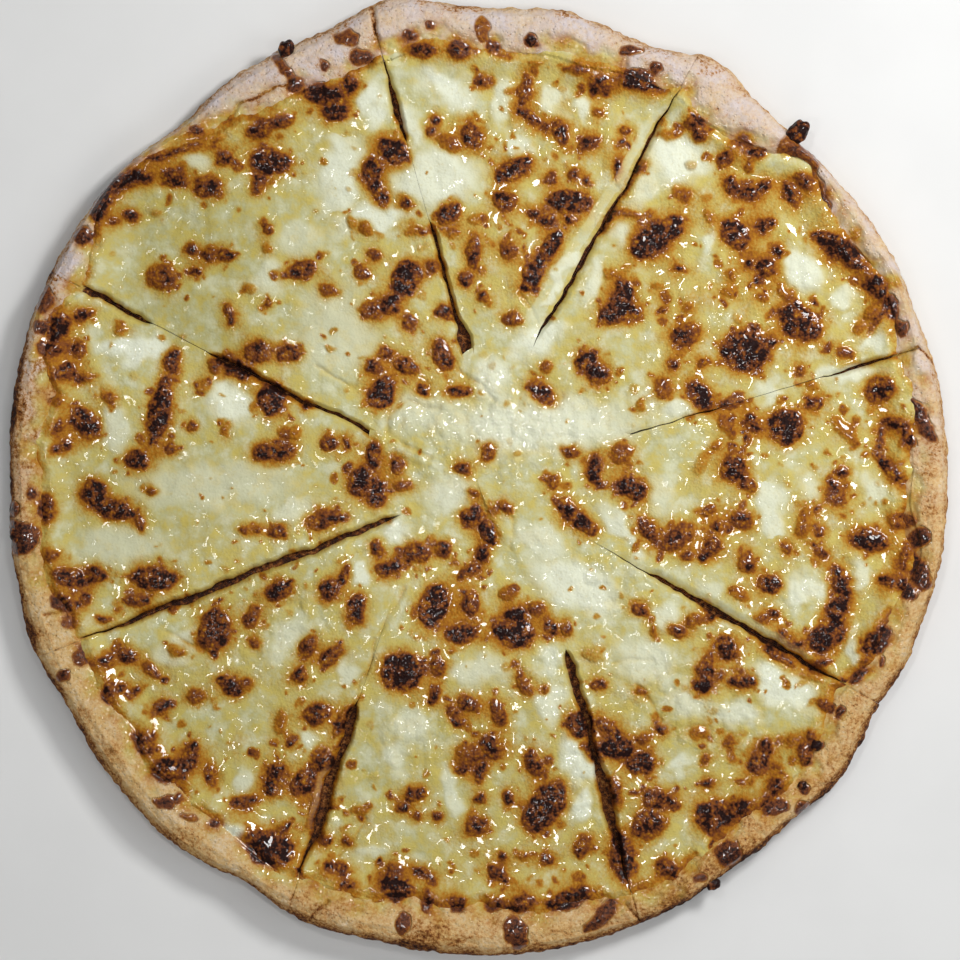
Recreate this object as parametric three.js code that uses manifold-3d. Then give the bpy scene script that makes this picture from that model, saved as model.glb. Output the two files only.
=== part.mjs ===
// A whole thin-crust cheese pizza, cut into eight slices that still lie together.
// Millimetres, +Z up. The origin is on the underside, in the middle of the pizza.
// Angles are in degrees, counter-clockwise from +X.

import * as THREE from 'three';
import { mergeVertices } from 'three/addons/utils/BufferGeometryUtils.js';
import Module from 'manifold-3d';

const wasm = await Module();
wasm.setup();

// ---------------------------------------------------------------------------
// Driving dimensions
// ---------------------------------------------------------------------------

const PIZZA_RADIUS = 152.8;      // a 12 inch pizza
const DOUGH_TOP = 5;             // top of the flat dough under the cheese
const RIM_CREST = 12.6;          // top of the raised rim
const UNDERSIDE_INSET = 4;       // how far the rim curls in to the flat underside
const SLOPE_WIDTH = 11;          // the dough starts to rise this far inside the cheese edge

const CHEESE_THICKNESS = 3.5;
const CHEESE_EDGE_THICKNESS = 1;
const CHEESE_EDGE_RADIUS = 140;
const CHEESE_WAVE = 0.35;        // height of the soft waves in the cheese
const CENTRE_DIP = 1.3;          // the cheese is lower where the slices' tips melted together
const CENTRE_DIP_RADIUS = 62;

const MELT_THICKNESS = 1.4;      // the pool of cheese that ran back over the tips
const MELT_EDGE_THICKNESS = 0.6;
const CLEARANCE = 0.5;           // between a layer and the one that it lies on

const DOUGH_CUT_GAP = 0.35;      // half of the gap between two slices of dough
const BEND_RADIUS = 25;          // inside this radius each cut runs to the centre
const TIP_WIDTH = 1.2;           // a slice's tip is blunted to this width

const BLISTER_HEIGHT_RATIO = 0.3;
const BLISTER_HEIGHTS = [0.9, 1.9];
const BLISTER_SINK = 0.25;
const DOME_SIDES = 6;
const DOME_RINGS = 4;
const SMALL_BLISTERS = 48;
const SMALL_BLISTER_SIZES = [4, 7];
const SEED = 20417;

const COLUMNS = 10;              // strips across a slice
const FLAT_ROWS = 6;             // rows between the bend and the start of the slope

// The outline and the cheese edge are round, with soft bumps: angle, width, height.
const OUTLINE_BUMPS = [
  [20, 4, -0.9], [45, 8, -1.9], [60, 4, 3.6], [69, 4, -1.6], [80, 4, 1.8], [100, 6, 5.5],
  [130, 6, -3.2], [155, 9, 0.7], [180, 6, -1.4], [200, 4, 1.3], [210, 4, -0.9], [228, 6, 1.2],
  [240, 4, -2.2], [250, 4, 1.3], [275, 16, 2], [303, 5, -1.8], [312, 5, -2.2], [330, 6, -3.2],
  [342, 5, -1.2],
];
const CHEESE_EDGE_BUMPS = [
  [335, 5, -2], [350, 5, 5], [10, 5, 2], [26, 8, 6], [43, 5, 8], [55, 6, -2.5], [82, 18, -2],
  [115, 11, -4.5], [140, 9, 8.5], [160, 6, 6], [180, 10, 2], [220, 14, -2], [243, 3, 3],
  [268, 16, -1.5], [295, 5, 5], [328, 4, -3],
];
const CREST_BUMPS = [
  [38, 6, -0.8], [75, 9, 0.7], [101, 6, 0.9], [128, 7, -1.2], [165, 8, 0.6], [196, 7, -0.7],
  [226, 6, 0.7], [252, 8, 0.8], [285, 9, -0.6], [318, 7, -0.9], [350, 8, 0.5],
];

// How far the melted centre reaches: angle, radius.
const MELT_REACH = [
  [0, 35], [20, 50], [40, 42], [60, 38], [80, 44], [100, 38], [120, 36], [140, 39], [157, 36],
  [170, 23], [190, 18], [210, 23], [230, 13], [262, 9], [282, 10], [300, 34], [320, 40], [340, 31],
];

// The eight cuts: the line's angle, its shift to the left of the centre, then for the slice on
// its right and the slice on its left how far the cheese stays back and how far its side slopes.
const CUTS = [
  { angle: -29.6, shift: 0.95, right: [0.9, 1.6], left: [0.9, 1.8] },
  { angle: 16.6, shift: -0.3, right: [0.7, 1.5], left: [0.7, 2.6] },
  { angle: 60.5, shift: 6.4, right: [0.8, 1.6], left: [0.9, 4.8] },
  { angle: 105.9, shift: -8, right: [0.8, 1.6], left: [0.9, 1.6] },
  { angle: 153.3, shift: 2.2, right: [0.8, 1.8], left: [0.8, 1.8] },
  { angle: 201.45, shift: 1.7, right: [1.2, 1.6], left: [1.2, 1.6] },
  { angle: 251.4, shift: -13.4, right: [0.9, 2.2], left: [0.9, 2.2] },
  { angle: 285.1, shift: 13.4, right: [1.3, 1.8], left: [1.3, 1.8] },
];

// The largest browned blisters in the cheese: x, y, length, width, turn.
const BLISTERS = [
  [83, 4, 10, 8, 70], [100, 17, 12, 12, 0], [130, 28, 10, 9, 60], [119, 16, 12, 5, -45],
  [65, -19, 13, 7, 35], [106, -14, 11, 6, 70], [127, -20, 13, 7, -10], [112, -51, 12, 9, 35],
  [117, -34, 12, 6, -75], [129, -52, 11, 7, 55], [47, 8, 8, 7, 0], [51, -3, 11, 7, -30],
  [60, 80, 15, 9, 25], [54, 74, 9, 8, 20], [84, 79, 11, 9, -40], [117, 74, 20, 7, -32],
  [105, 50, 14, 10, -25], [87, 42, 15, 13, 0], [67, 46, 10, 7, 20], [72, 27, 11, 7, -55],
  [46, 98, 10, 4, -75], [44, 54, 11, 7, 20], [132, 57, 12, 5, -65], [102, 91, 9, 5, -60],
  [12, 100, 13, 6, 30], [30, 89, 15, 7, -5], [52, 128, 13, 7, -20], [40, 127, 9, 6, 0],
  [24, 75, 11, 6, 60], [18, 66, 12, 6, 70], [-6, 138, 8, 6, 0], [15, 126, 10, 5, 75],
  [-49, 124, 13, 7, -10], [-27, 106, 11, 8, -45], [-67, 102, 13, 9, 0], [-67, 114, 17, 5, 20],
  [-112, 96, 14, 5, 10], [-121, 89, 13, 5, 70], [-102, 65, 10, 9, 0], [-57, 67, 12, 5, 15],
  [-23, 65, 12, 9, 60], [-87, 94, 9, 7, -20], [-71, 41, 8, 7, 0], [-33, 98, 10, 6, 80],
  [-126, 18, 12, 8, -45], [-102, 22, 22, 7, 78], [-118, -10, 14, 6, -10], [-131, -32, 12, 6, -15],
  [-104, -31, 16, 8, -8], [-66, 26, 11, 9, 70], [-77, 35, 10, 6, -35], [-49, -13, 12, 6, 10],
  [-36, -1, 11, 9, 60], [-134, 50, 9, 6, 80], [-110, 6, 9, 6, 0], [-60, 11, 9, 6, 10],
  [-85, -49, 15, 11, 80], [-99, -94, 11, 8, 0], [-67, -118, 17, 11, -15], [-56, -98, 9, 7, 45],
  [-39, -42, 9, 6, 85], [-80, -67, 9, 5, -45], [-92, -89, 9, 5, 70], [-52, -76, 9, 7, 30],
  [-24, -62, 14, 13, 0], [-14, -41, 15, 9, 70], [12, -50, 14, 9, -10], [-5, -50, 11, 7, 10],
  [7, -76, 10, 5, -70], [22, -106, 19, 11, 55], [46, -121, 14, 7, -80], [30, -134, 14, 6, 20],
  [-27, -131, 10, 8, -30], [33, -79, 9, 8, 0], [5, -87, 9, 7, -40], [-2, -14, 9, 6, 50],
  [46, -87, 10, 8, -20], [53, -92, 9, 7, 20], [76, -109, 11, 10, 0], [74, -62, 12, 5, 80],
  [81, -55, 8, 7, -60], [81, -121, 9, 7, 50], [86, -65, 9, 5, 0], [91, -92, 8, 6, 50],
];

// Burnt drops of cheese and crumbs on the rim: x, y, length, width, turn.
const RIM_SPILLS = [
  [104, 112, 7, 7, 0], [112, 86, 12, 4.5, -80], [-62, 140, 5.5, 5.5, 0], [-149, -19, 8, 5, -50],
  [-84, 120, 15, 6, 42], [-66, 130, 14, 5, 20], [147, -27, 11, 4.5, -70], [12, -146, 9, 6, -70],
  [41, -141, 12, 5, 45], [-48, -141, 9, 6, 10], [76, -129, 5, 4, 0], [142, 20, 13, 5, -62],
];

// ---------------------------------------------------------------------------
// Shared shape functions
// ---------------------------------------------------------------------------

const radians = THREE.MathUtils.degToRad;
const degrees = THREE.MathUtils.radToDeg;

function seededRandom(seed) {
  let state = seed;
  return () => {
    state = (state * 1664525 + 1013904223) % 4294967296;
    return state / 4294967296;
  };
}

// The sum of soft bumps at an angle, each [angle, width, height].
function bumpsAt(angle, bumps) {
  let sum = 0;
  for (const [centre, width, height] of bumps) {
    const away = THREE.MathUtils.euclideanModulo(angle - centre + 180, 360) - 180;
    sum += height * Math.exp(-((away / width) ** 2));
  }
  return sum;
}

function outlineRadius(angle) {
  return PIZZA_RADIUS + bumpsAt(angle, OUTLINE_BUMPS);
}

function cheeseEdge(angle) {
  const ripple = 0.8 * Math.sin(radians(23 * angle)) + 0.6 * Math.sin(radians(41 * angle + 60));
  return CHEESE_EDGE_RADIUS + bumpsAt(angle, CHEESE_EDGE_BUMPS) + ripple;
}

function meltReach(angle) {
  const turned = THREE.MathUtils.euclideanModulo(angle, 360);
  const after = MELT_REACH.findIndex(([at]) => at > turned);
  const next = after < 0 ? [360 + MELT_REACH[0][0], MELT_REACH[0][1]] : MELT_REACH[after];
  const last = MELT_REACH[(after < 0 ? MELT_REACH.length : after) - 1];
  const share = THREE.MathUtils.smoothstep(turned, last[0], next[0]);
  return THREE.MathUtils.lerp(last[1], next[1], share);
}

// The polar angle of a cut at a radius, moved sideways by an offset to its left.
function cutAngle(cut, radius, offset) {
  const shift = cut.shift * Math.min(1, radius / BEND_RADIUS) + offset;
  return cut.angle + degrees(Math.asin(THREE.MathUtils.clamp(shift / radius, -1, 1)));
}

// Height of the dough's top inside the cheese edge, by the distance in from that edge.
function doughSlope(inward) {
  const rise = THREE.MathUtils.smoothstep(SLOPE_WIDTH - inward, 0, SLOPE_WIDTH * 1.15);
  return DOUGH_TOP + (RIM_CREST - 1.5 - DOUGH_TOP) * rise;
}

function centreDip(radius) {
  return CENTRE_DIP * (1 - THREE.MathUtils.smoothstep(radius, 0.45 * CENTRE_DIP_RADIUS, CENTRE_DIP_RADIUS));
}

function cheeseTop(radius, angle) {
  const inward = cheeseEdge(angle) - radius;
  const x = radius * Math.cos(radians(angle));
  const y = radius * Math.sin(radians(angle));
  const wave = Math.sin(x / 13 + 1) * Math.cos(y / 11 - 0.4) + 0.6 * Math.sin((x - y) / 19);
  const calm = THREE.MathUtils.smoothstep(radius, 40, 70) * THREE.MathUtils.smoothstep(inward, 0, 12);
  const full = THREE.MathUtils.smoothstep(inward, -2, SLOPE_WIDTH);
  const thickness = THREE.MathUtils.lerp(CHEESE_EDGE_THICKNESS, CHEESE_THICKNESS, full);
  return doughSlope(inward) + CLEARANCE + thickness + CHEESE_WAVE * wave * calm - centreDip(radius);
}

function polar(radius, angle, height) {
  return new THREE.Vector3(
    radius * Math.cos(radians(angle)),
    radius * Math.sin(radians(angle)),
    height,
  );
}

// ---------------------------------------------------------------------------
// Building closed bodies
// ---------------------------------------------------------------------------

// Collects triangles by their corner points, and welds equal corners at the end.
class Shell {
  constructor() {
    this.corners = [];
  }

  triangle(a, b, c) {
    const size = new THREE.Triangle(a, b, c).getArea();
    if (size > 1e-7) {
      this.corners.push(...a.toArray(), ...b.toArray(), ...c.toArray());
    }
  }

  quad(a, b, c, d) {
    this.triangle(a, b, c);
    this.triangle(a, c, d);
  }

  // Two rows of points, joined by quads that face to the left of the way from low to high.
  strip(near, far) {
    for (let i = 0; i + 1 < near.length; i += 1) {
      this.quad(near[i], far[i], far[i + 1], near[i + 1]);
    }
  }

  // A flat or nearly flat face inside a loop of points, seen in the plane that flatten gives.
  face(loop, flatten, flipped) {
    const outline = loop.map(flatten);
    for (const [a, b, c] of THREE.ShapeUtils.triangulateShape(outline, [])) {
      const facing = (outline[b].x - outline[a].x) * (outline[c].y - outline[a].y)
        - (outline[b].y - outline[a].y) * (outline[c].x - outline[a].x);
      const turned = (facing < 0) !== flipped;
      this.triangle(loop[a], loop[turned ? c : b], loop[turned ? b : c]);
    }
  }

  geometry() {
    const geometry = new THREE.BufferGeometry();
    geometry.setAttribute('position', new THREE.Float32BufferAttribute(this.corners, 3));
    return mergeVertices(geometry, 1e-4);
  }
}

function toSolid(geometry) {
  const bare = geometry.clone();
  bare.deleteAttribute('normal');
  bare.deleteAttribute('uv');
  const merged = mergeVertices(bare, 1e-4);
  return new wasm.Manifold(new wasm.Mesh({
    numProp: 3,
    vertProperties: new Float32Array(merged.attributes.position.array),
    triVerts: new Uint32Array(merged.index.array),
  }));
}

function fromSolid(solid) {
  const mesh = solid.getMesh();
  const geometry = new THREE.BufferGeometry();
  geometry.setAttribute('position', new THREE.BufferAttribute(new Float32Array(mesh.vertProperties), 3));
  geometry.setIndex(new THREE.BufferAttribute(new Uint32Array(mesh.triVerts), 1));
  return geometry;
}

const fromAbove = (point) => new THREE.Vector2(point.x, point.y);
const fromTheSide = (point) => new THREE.Vector2(Math.hypot(point.x, point.y), point.z);

// ---------------------------------------------------------------------------
// One slice
// ---------------------------------------------------------------------------

// A slice lies between the cut on its right and the cut on its left, each with the distance
// that the layer keeps from the cut's line and the width of its sloping side.
function angleAcross(slice, radius, column) {
  const low = cutAngle(slice.right, radius, slice.rightGap);
  const high = cutAngle(slice.left, radius, -slice.leftGap) + slice.turn;
  if (column === 0) {
    return low;
  }
  if (column === COLUMNS) {
    return high;
  }
  const width = high - low;
  const inLow = low + Math.min(degrees(slice.rightSlope / radius), width / 4);
  const inHigh = high - Math.min(degrees(slice.leftSlope / radius), width / 4);
  return THREE.MathUtils.lerp(inLow, inHigh, (column - 1) / (COLUMNS - 2));
}

function tipRadius(slice) {
  let radius = 3;
  while (radians(angleAcross(slice, radius, COLUMNS) - angleAcross(slice, radius, 0)) * radius < TIP_WIDTH) {
    radius += 0.5;
  }
  return radius;
}

// The radii of the rows from the tip to the cheese edge, at one column.
function rowPoints(slice, row, heightAt) {
  const points = [];
  for (let column = 0; column <= COLUMNS; column += 1) {
    let radius = slice.tip;
    let angle = angleAcross(slice, radius, column);
    for (let pass = 0; pass < 3; pass += 1) {
      radius = row(cheeseEdge(angle));
      angle = angleAcross(slice, radius, column);
    }
    points.push(polar(radius, angle, heightAt(radius, angle, column)));
  }
  return points;
}

function innerRows(slice) {
  const rows = [() => slice.tip];
  if (slice.tip < 0.5 * BEND_RADIUS) {
    rows.push(() => 0.6 * BEND_RADIUS);
  }
  rows.push(() => BEND_RADIUS);
  return rows;
}

function flatRows() {
  const rows = [];
  for (let i = 1; i <= FLAT_ROWS; i += 1) {
    rows.push((edge) => THREE.MathUtils.lerp(BEND_RADIUS, edge - SLOPE_WIDTH, i / FLAT_ROWS));
  }
  return rows;
}

const slopeRows = [0.64, 0.28, 0].map((share) => (edge) => edge - share * SLOPE_WIDTH);

// The rim's section, from the cheese edge to the underside: share of the rim's width, height.
const RIM_SECTION = [
  [0.3, RIM_CREST - 0.4], [0.55, RIM_CREST], [0.78, RIM_CREST - 1.1], [0.93, RIM_CREST - 3.6], [1, 5.6],
];

function rimRows(slice) {
  const rows = [];
  for (const [share, height] of RIM_SECTION) {
    rows.push(rimRow(slice, (edge, outer) => THREE.MathUtils.lerp(edge, outer, share), height));
  }
  rows.push(rimRow(slice, (edge, outer) => outer - 0.28 * UNDERSIDE_INSET, 2.2));
  rows.push(rimRow(slice, (edge, outer) => outer - UNDERSIDE_INSET, 0));
  return rows;
}

function rimRow(slice, radiusAt, height) {
  const points = [];
  for (let column = 0; column <= COLUMNS; column += 1) {
    let angle = angleAcross(slice, PIZZA_RADIUS, column);
    let radius = PIZZA_RADIUS;
    for (let pass = 0; pass < 3; pass += 1) {
      radius = radiusAt(cheeseEdge(angle), outlineRadius(angle));
      angle = angleAcross(slice, radius, column);
    }
    const raised = bumpsAt(angle, CREST_BUMPS) * THREE.MathUtils.smoothstep(height, 4, RIM_CREST);
    points.push(polar(radius, angle, height + raised));
  }
  return points;
}

function sideColumn(rows, column) {
  return rows.map((row) => row[column]);
}

function lowered(points, height) {
  return points.map((point) => new THREE.Vector3(point.x, point.y, height));
}

function crustShell(slice) {
  const inner = innerRows(slice).map((row) => rowPoints(slice, row, () => DOUGH_TOP));
  const flat = flatRows().map((row) => rowPoints(slice, row, () => DOUGH_TOP));
  const heightOnSlope = (radius, angle) => doughSlope(cheeseEdge(angle) - radius);
  const slope = slopeRows.map((row) => rowPoints(slice, row, heightOnSlope));
  const top = [...inner, ...flat, ...slope, ...rimRows(slice)];
  const shell = new Shell();
  for (let i = 0; i + 1 < top.length; i += 1) {
    shell.strip(top[i], top[i + 1]);
  }
  const right = sideColumn(top, 0);
  const left = sideColumn(top, COLUMNS);
  const footRight = lowered(sideColumn(inner, 0), 0);
  const footLeft = lowered(sideColumn(inner, COLUMNS), 0);
  const outerFoot = top[top.length - 1];
  shell.face([...right, ...footRight.toReversed()], fromTheSide, false);
  shell.face([...left, ...footLeft.toReversed()], fromTheSide, true);
  const tipFoot = lowered(inner[0], 0);
  shell.strip(tipFoot, inner[0]);
  const underside = [
    ...tipFoot.toReversed(), ...footRight.slice(1), ...outerFoot, ...footLeft.slice(1).toReversed(),
  ];
  shell.face(underside, fromAbove, true);
  return shell.geometry();
}

function cheeseShell(slice) {
  const bottomHeight = (radius, angle) => doughSlope(cheeseEdge(angle) - radius) + CLEARANCE;
  const topHeight = (radius, angle, column) => {
    const high = cheeseTop(radius, angle);
    const atSide = column === 0 || column === COLUMNS;
    return atSide ? THREE.MathUtils.lerp(bottomHeight(radius, angle), high, 0.45) : high;
  };
  const inner = innerRows(slice);
  const slope = slopeRows;
  const top = [...inner, ...flatRows(), ...slope].map((row) => rowPoints(slice, row, topHeight));
  const floorHeight = DOUGH_TOP + CLEARANCE;
  const floorInner = inner.map((row) => rowPoints(slice, row, () => floorHeight));
  const floorEdge = rowPoints(slice, (edge) => edge - SLOPE_WIDTH, () => floorHeight);
  const floorSlope = [floorEdge, ...slope.map((row) => rowPoints(slice, row, bottomHeight))];
  const shell = new Shell();
  for (let i = 0; i + 1 < top.length; i += 1) {
    shell.strip(top[i], top[i + 1]);
  }
  for (let i = 0; i + 1 < floorSlope.length; i += 1) {
    shell.strip(floorSlope[i + 1], floorSlope[i]);
  }
  shell.strip(top[top.length - 1], floorSlope[floorSlope.length - 1]);
  shell.strip(floorInner[0], top[0]);
  const floorRows = [...floorInner, ...floorSlope];
  for (const [column, flipped] of [[0, false], [COLUMNS, true]]) {
    const loop = [...sideColumn(top, column), ...sideColumn(floorRows, column).toReversed()];
    shell.face(loop, fromTheSide, flipped);
  }
  const floorLoop = [
    ...floorInner[0].toReversed(), ...sideColumn(floorInner, 0).slice(1), ...floorEdge,
    ...sideColumn(floorInner, COLUMNS).slice(1).toReversed(),
  ];
  shell.face(floorLoop, fromAbove, true);
  return shell.geometry();
}

// ---------------------------------------------------------------------------
// The melted centre
// ---------------------------------------------------------------------------

const MELT_STEPS = 48;
const MELT_RINGS = [0.3, 0.6, 0.85, 1];

function meltPoint(share, angle, side) {
  const radius = share * meltReach(angle);
  const under = cheeseTop(radius, angle) + CLEARANCE;
  const full = 1 - THREE.MathUtils.smoothstep(share, 0.8, 1);
  const thickness = THREE.MathUtils.lerp(MELT_EDGE_THICKNESS, MELT_THICKNESS, full);
  return polar(radius, angle, under + (side === 'top' ? thickness : 0));
}

function meltRing(share, side) {
  const ring = [];
  for (let step = 0; step <= MELT_STEPS; step += 1) {
    ring.push(meltPoint(share, (360 * (step % MELT_STEPS)) / MELT_STEPS, side));
  }
  return ring;
}

function meltShell() {
  const shell = new Shell();
  const topCentre = meltPoint(0, 0, 'top');
  const lowCentre = meltPoint(0, 0, 'low');
  const top = MELT_RINGS.map((share) => meltRing(share, 'top'));
  const low = MELT_RINGS.map((share) => meltRing(share, 'low'));
  for (let step = 0; step < MELT_STEPS; step += 1) {
    shell.triangle(topCentre, top[0][step], top[0][step + 1]);
    shell.triangle(lowCentre, low[0][step + 1], low[0][step]);
  }
  for (let ring = 0; ring + 1 < MELT_RINGS.length; ring += 1) {
    shell.strip(top[ring], top[ring + 1]);
    shell.strip(low[ring + 1], low[ring]);
  }
  shell.strip(top[top.length - 1], low[low.length - 1]);
  return shell.geometry();
}

// ---------------------------------------------------------------------------
// Blisters and spills, fused on as flat domes
// ---------------------------------------------------------------------------

function dome([x, y, length, width, turn], surface) {
  const [least, most] = BLISTER_HEIGHTS;
  const height = THREE.MathUtils.clamp(width * BLISTER_HEIGHT_RATIO, least, most);
  const geometry = new THREE.SphereGeometry(1, DOME_SIDES, DOME_RINGS);
  geometry.rotateX(Math.PI / 2);
  geometry.scale(length / 2, width / 2, height);
  geometry.rotateZ(radians(turn));
  geometry.translate(x, y, surface - BLISTER_SINK);
  return toSolid(geometry);
}

// An upright block over a loop of points, which trims the domes to their own slice.
function prism(loop) {
  const shape = new THREE.Shape(loop.map(fromAbove));
  return toSolid(new THREE.ExtrudeGeometry(shape, { depth: 30, bevelEnabled: false }));
}

function smallBlisters() {
  const random = seededRandom(SEED);
  const [least, most] = SMALL_BLISTER_SIZES;
  const found = [];
  for (let i = 0; i < SMALL_BLISTERS; i += 1) {
    const radius = THREE.MathUtils.lerp(45, 134, Math.sqrt((i + random()) / SMALL_BLISTERS));
    const angle = 137.508 * i + 20 * random();
    const place = polar(radius, angle, 0);
    const length = THREE.MathUtils.lerp(least, most, random());
    const width = length * THREE.MathUtils.lerp(0.6, 0.95, random());
    const clear = BLISTERS.every(([x, y, size]) => Math.hypot(x - place.x, y - place.y) > 0.6 * (size + length));
    if (clear) {
      found.push([place.x, place.y, length, width, 180 * random()]);
    }
  }
  return found;
}

function withDomes(body, domes, surfaceAt, inside, outside) {
  let solid = toSolid(body);
  for (const spec of domes) {
    const angle = degrees(Math.atan2(spec[1], spec[0]));
    const radius = Math.hypot(spec[0], spec[1]);
    let bump = dome(spec, surfaceAt(radius, angle)).intersect(inside);
    if (outside) {
      bump = bump.subtract(outside);
    }
    if (!bump.isEmpty()) {
      solid = solid.add(bump);
    }
  }
  return fromSolid(largestPiece(solid));
}

function largestPiece(solid) {
  return solid.decompose().sort((a, b) => b.volume() - a.volume())[0];
}

// Is a spot between the two cuts of a slice?
function liesIn(slice, [x, y]) {
  const radius = Math.hypot(x, y);
  const low = angleAcross(slice, radius, 0);
  const high = angleAcross(slice, radius, COLUMNS);
  const angle = degrees(Math.atan2(y, x));
  return THREE.MathUtils.euclideanModulo(angle - low, 360) < high - low;
}

// ---------------------------------------------------------------------------
// The pizza
// ---------------------------------------------------------------------------

function sliceBetween(number, gaps) {
  const right = CUTS[number];
  const left = CUTS[(number + 1) % CUTS.length];
  const slice = { right, left, turn: number + 1 === CUTS.length ? 360 : 0, ...gaps(right, left) };
  slice.tip = tipRadius(slice);
  return slice;
}

function crustSlice(number) {
  const gaps = () => ({ rightGap: DOUGH_CUT_GAP, leftGap: DOUGH_CUT_GAP, rightSlope: 1.6, leftSlope: 1.6 });
  return sliceBetween(number, gaps);
}

function cheeseSlice(number) {
  return sliceBetween(number, (right, left) => ({
    rightGap: right.left[0],
    rightSlope: right.left[1],
    leftGap: left.right[0],
    leftSlope: left.right[1],
  }));
}

function outlineLoop(slice, outerRow) {
  const rows = [...innerRows(slice), (edge) => edge - SLOPE_WIDTH].map((row) => rowPoints(slice, row, () => 0));
  return [
    ...rows[0].toReversed(), ...sideColumn(rows, 0).slice(1), ...outerRow,
    ...sideColumn(rows, COLUMNS).slice(1).toReversed(),
  ];
}

function addPart(group, name, geometry, colour, roughness) {
  const finished = geometry.toNonIndexed();
  finished.computeVertexNormals();
  const material = new THREE.MeshStandardMaterial({ color: colour, roughness, metalness: 0 });
  const mesh = new THREE.Mesh(finished, material);
  mesh.name = name;
  group.add(mesh);
}

const group = new THREE.Group();
const meltBody = meltShell();
const meltLoop = meltRing(1, 'low').slice(1);
const meltPrism = prism(meltLoop);
const nearMelt = prism(meltLoop.map((point) => point.clone().multiplyScalar(1 + 0.8 / Math.hypot(point.x, point.y))));
const blisters = [...BLISTERS, ...smallBlisters()];

for (let number = 0; number < CUTS.length; number += 1) {
  const crust = crustSlice(number);
  const rimLoop = outlineLoop(crust, rimRow(crust, (edge, outer) => outer - 0.2, 0));
  const cheeseSide = prism(outlineLoop(crust, rowPoints(crust, (edge) => edge + 0.6, () => 0)));
  const spills = RIM_SPILLS.filter((spill) => liesIn(crust, spill));
  const crestHeight = () => RIM_CREST - 0.6;
  const crustBody = withDomes(crustShell(crust), spills, crestHeight, prism(rimLoop), cheeseSide);
  addPart(group, `crust_${number + 1}`, crustBody, 0xc9a777, 0.8);
  const overDough = toSolid(crustBody.clone().translate(0, 0, CLEARANCE));

  const cheese = cheeseSlice(number);
  const cheeseLoop = outlineLoop(cheese, rowPoints(cheese, (edge) => edge, () => 0));
  const domes = blisters.filter((spot) => liesIn(cheese, spot));
  const keepOut = nearMelt.add(overDough);
  const cheeseBody = withDomes(cheeseShell(cheese), domes, cheeseTop, prism(cheeseLoop), keepOut);
  addPart(group, `cheese_${number + 1}`, cheeseBody, 0xd0b56c, 0.35);
}

const meltTop = (radius, angle) => cheeseTop(radius, angle) + CLEARANCE + MELT_THICKNESS;
const onMelt = blisters.filter(([x, y]) => Math.hypot(x, y) < meltReach(degrees(Math.atan2(y, x))));
addPart(group, 'centre_melt', withDomes(meltBody, onMelt, meltTop, meltPrism), 0xd9d2a0, 0.3);

export default group;
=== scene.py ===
"""The looks of a whole cheese pizza, cut into eight slices that still lie together.

Lists and shape functions are in millimetres and degrees, counter-clockwise from +X, as in the
part's own source. Meshes and the panel's sizes are in metres.
"""

import math
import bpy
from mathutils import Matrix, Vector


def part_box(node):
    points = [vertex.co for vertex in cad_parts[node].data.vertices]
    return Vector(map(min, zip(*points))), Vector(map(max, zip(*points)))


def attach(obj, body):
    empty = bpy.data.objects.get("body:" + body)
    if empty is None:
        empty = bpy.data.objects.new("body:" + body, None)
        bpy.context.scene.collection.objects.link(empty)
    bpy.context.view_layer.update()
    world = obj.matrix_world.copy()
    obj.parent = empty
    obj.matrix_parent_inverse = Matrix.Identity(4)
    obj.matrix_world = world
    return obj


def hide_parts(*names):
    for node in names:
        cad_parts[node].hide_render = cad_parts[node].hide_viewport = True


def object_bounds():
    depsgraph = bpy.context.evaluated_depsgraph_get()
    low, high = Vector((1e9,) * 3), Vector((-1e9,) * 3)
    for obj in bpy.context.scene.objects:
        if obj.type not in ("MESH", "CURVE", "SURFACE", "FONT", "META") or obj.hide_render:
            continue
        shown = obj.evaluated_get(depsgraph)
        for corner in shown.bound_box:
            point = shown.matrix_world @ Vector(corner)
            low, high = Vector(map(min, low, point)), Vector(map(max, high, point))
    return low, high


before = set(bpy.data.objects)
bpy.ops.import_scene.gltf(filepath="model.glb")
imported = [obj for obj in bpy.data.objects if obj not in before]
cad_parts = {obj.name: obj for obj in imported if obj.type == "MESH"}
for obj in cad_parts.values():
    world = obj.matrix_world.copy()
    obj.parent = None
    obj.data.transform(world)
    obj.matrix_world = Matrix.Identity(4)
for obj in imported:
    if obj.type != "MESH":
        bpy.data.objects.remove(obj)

from types import SimpleNamespace

import bpy
import numpy as np

CAD_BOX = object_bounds()

bl_info = {
    "name": "Cheese pizza",
    "version": (1, 0, 0),
    "blender": (4, 5, 0),
    "location": "View3D > Sidebar > Pizza",
    "description": "Builds a sliced cheese pizza with a baked rim and browned blisters",
    "category": "Add Mesh",
}

MM = 0.001
RIM_TOP = max(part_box(f"crust_{number}")[1].z for number in range(1, 9)) / MM
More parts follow.
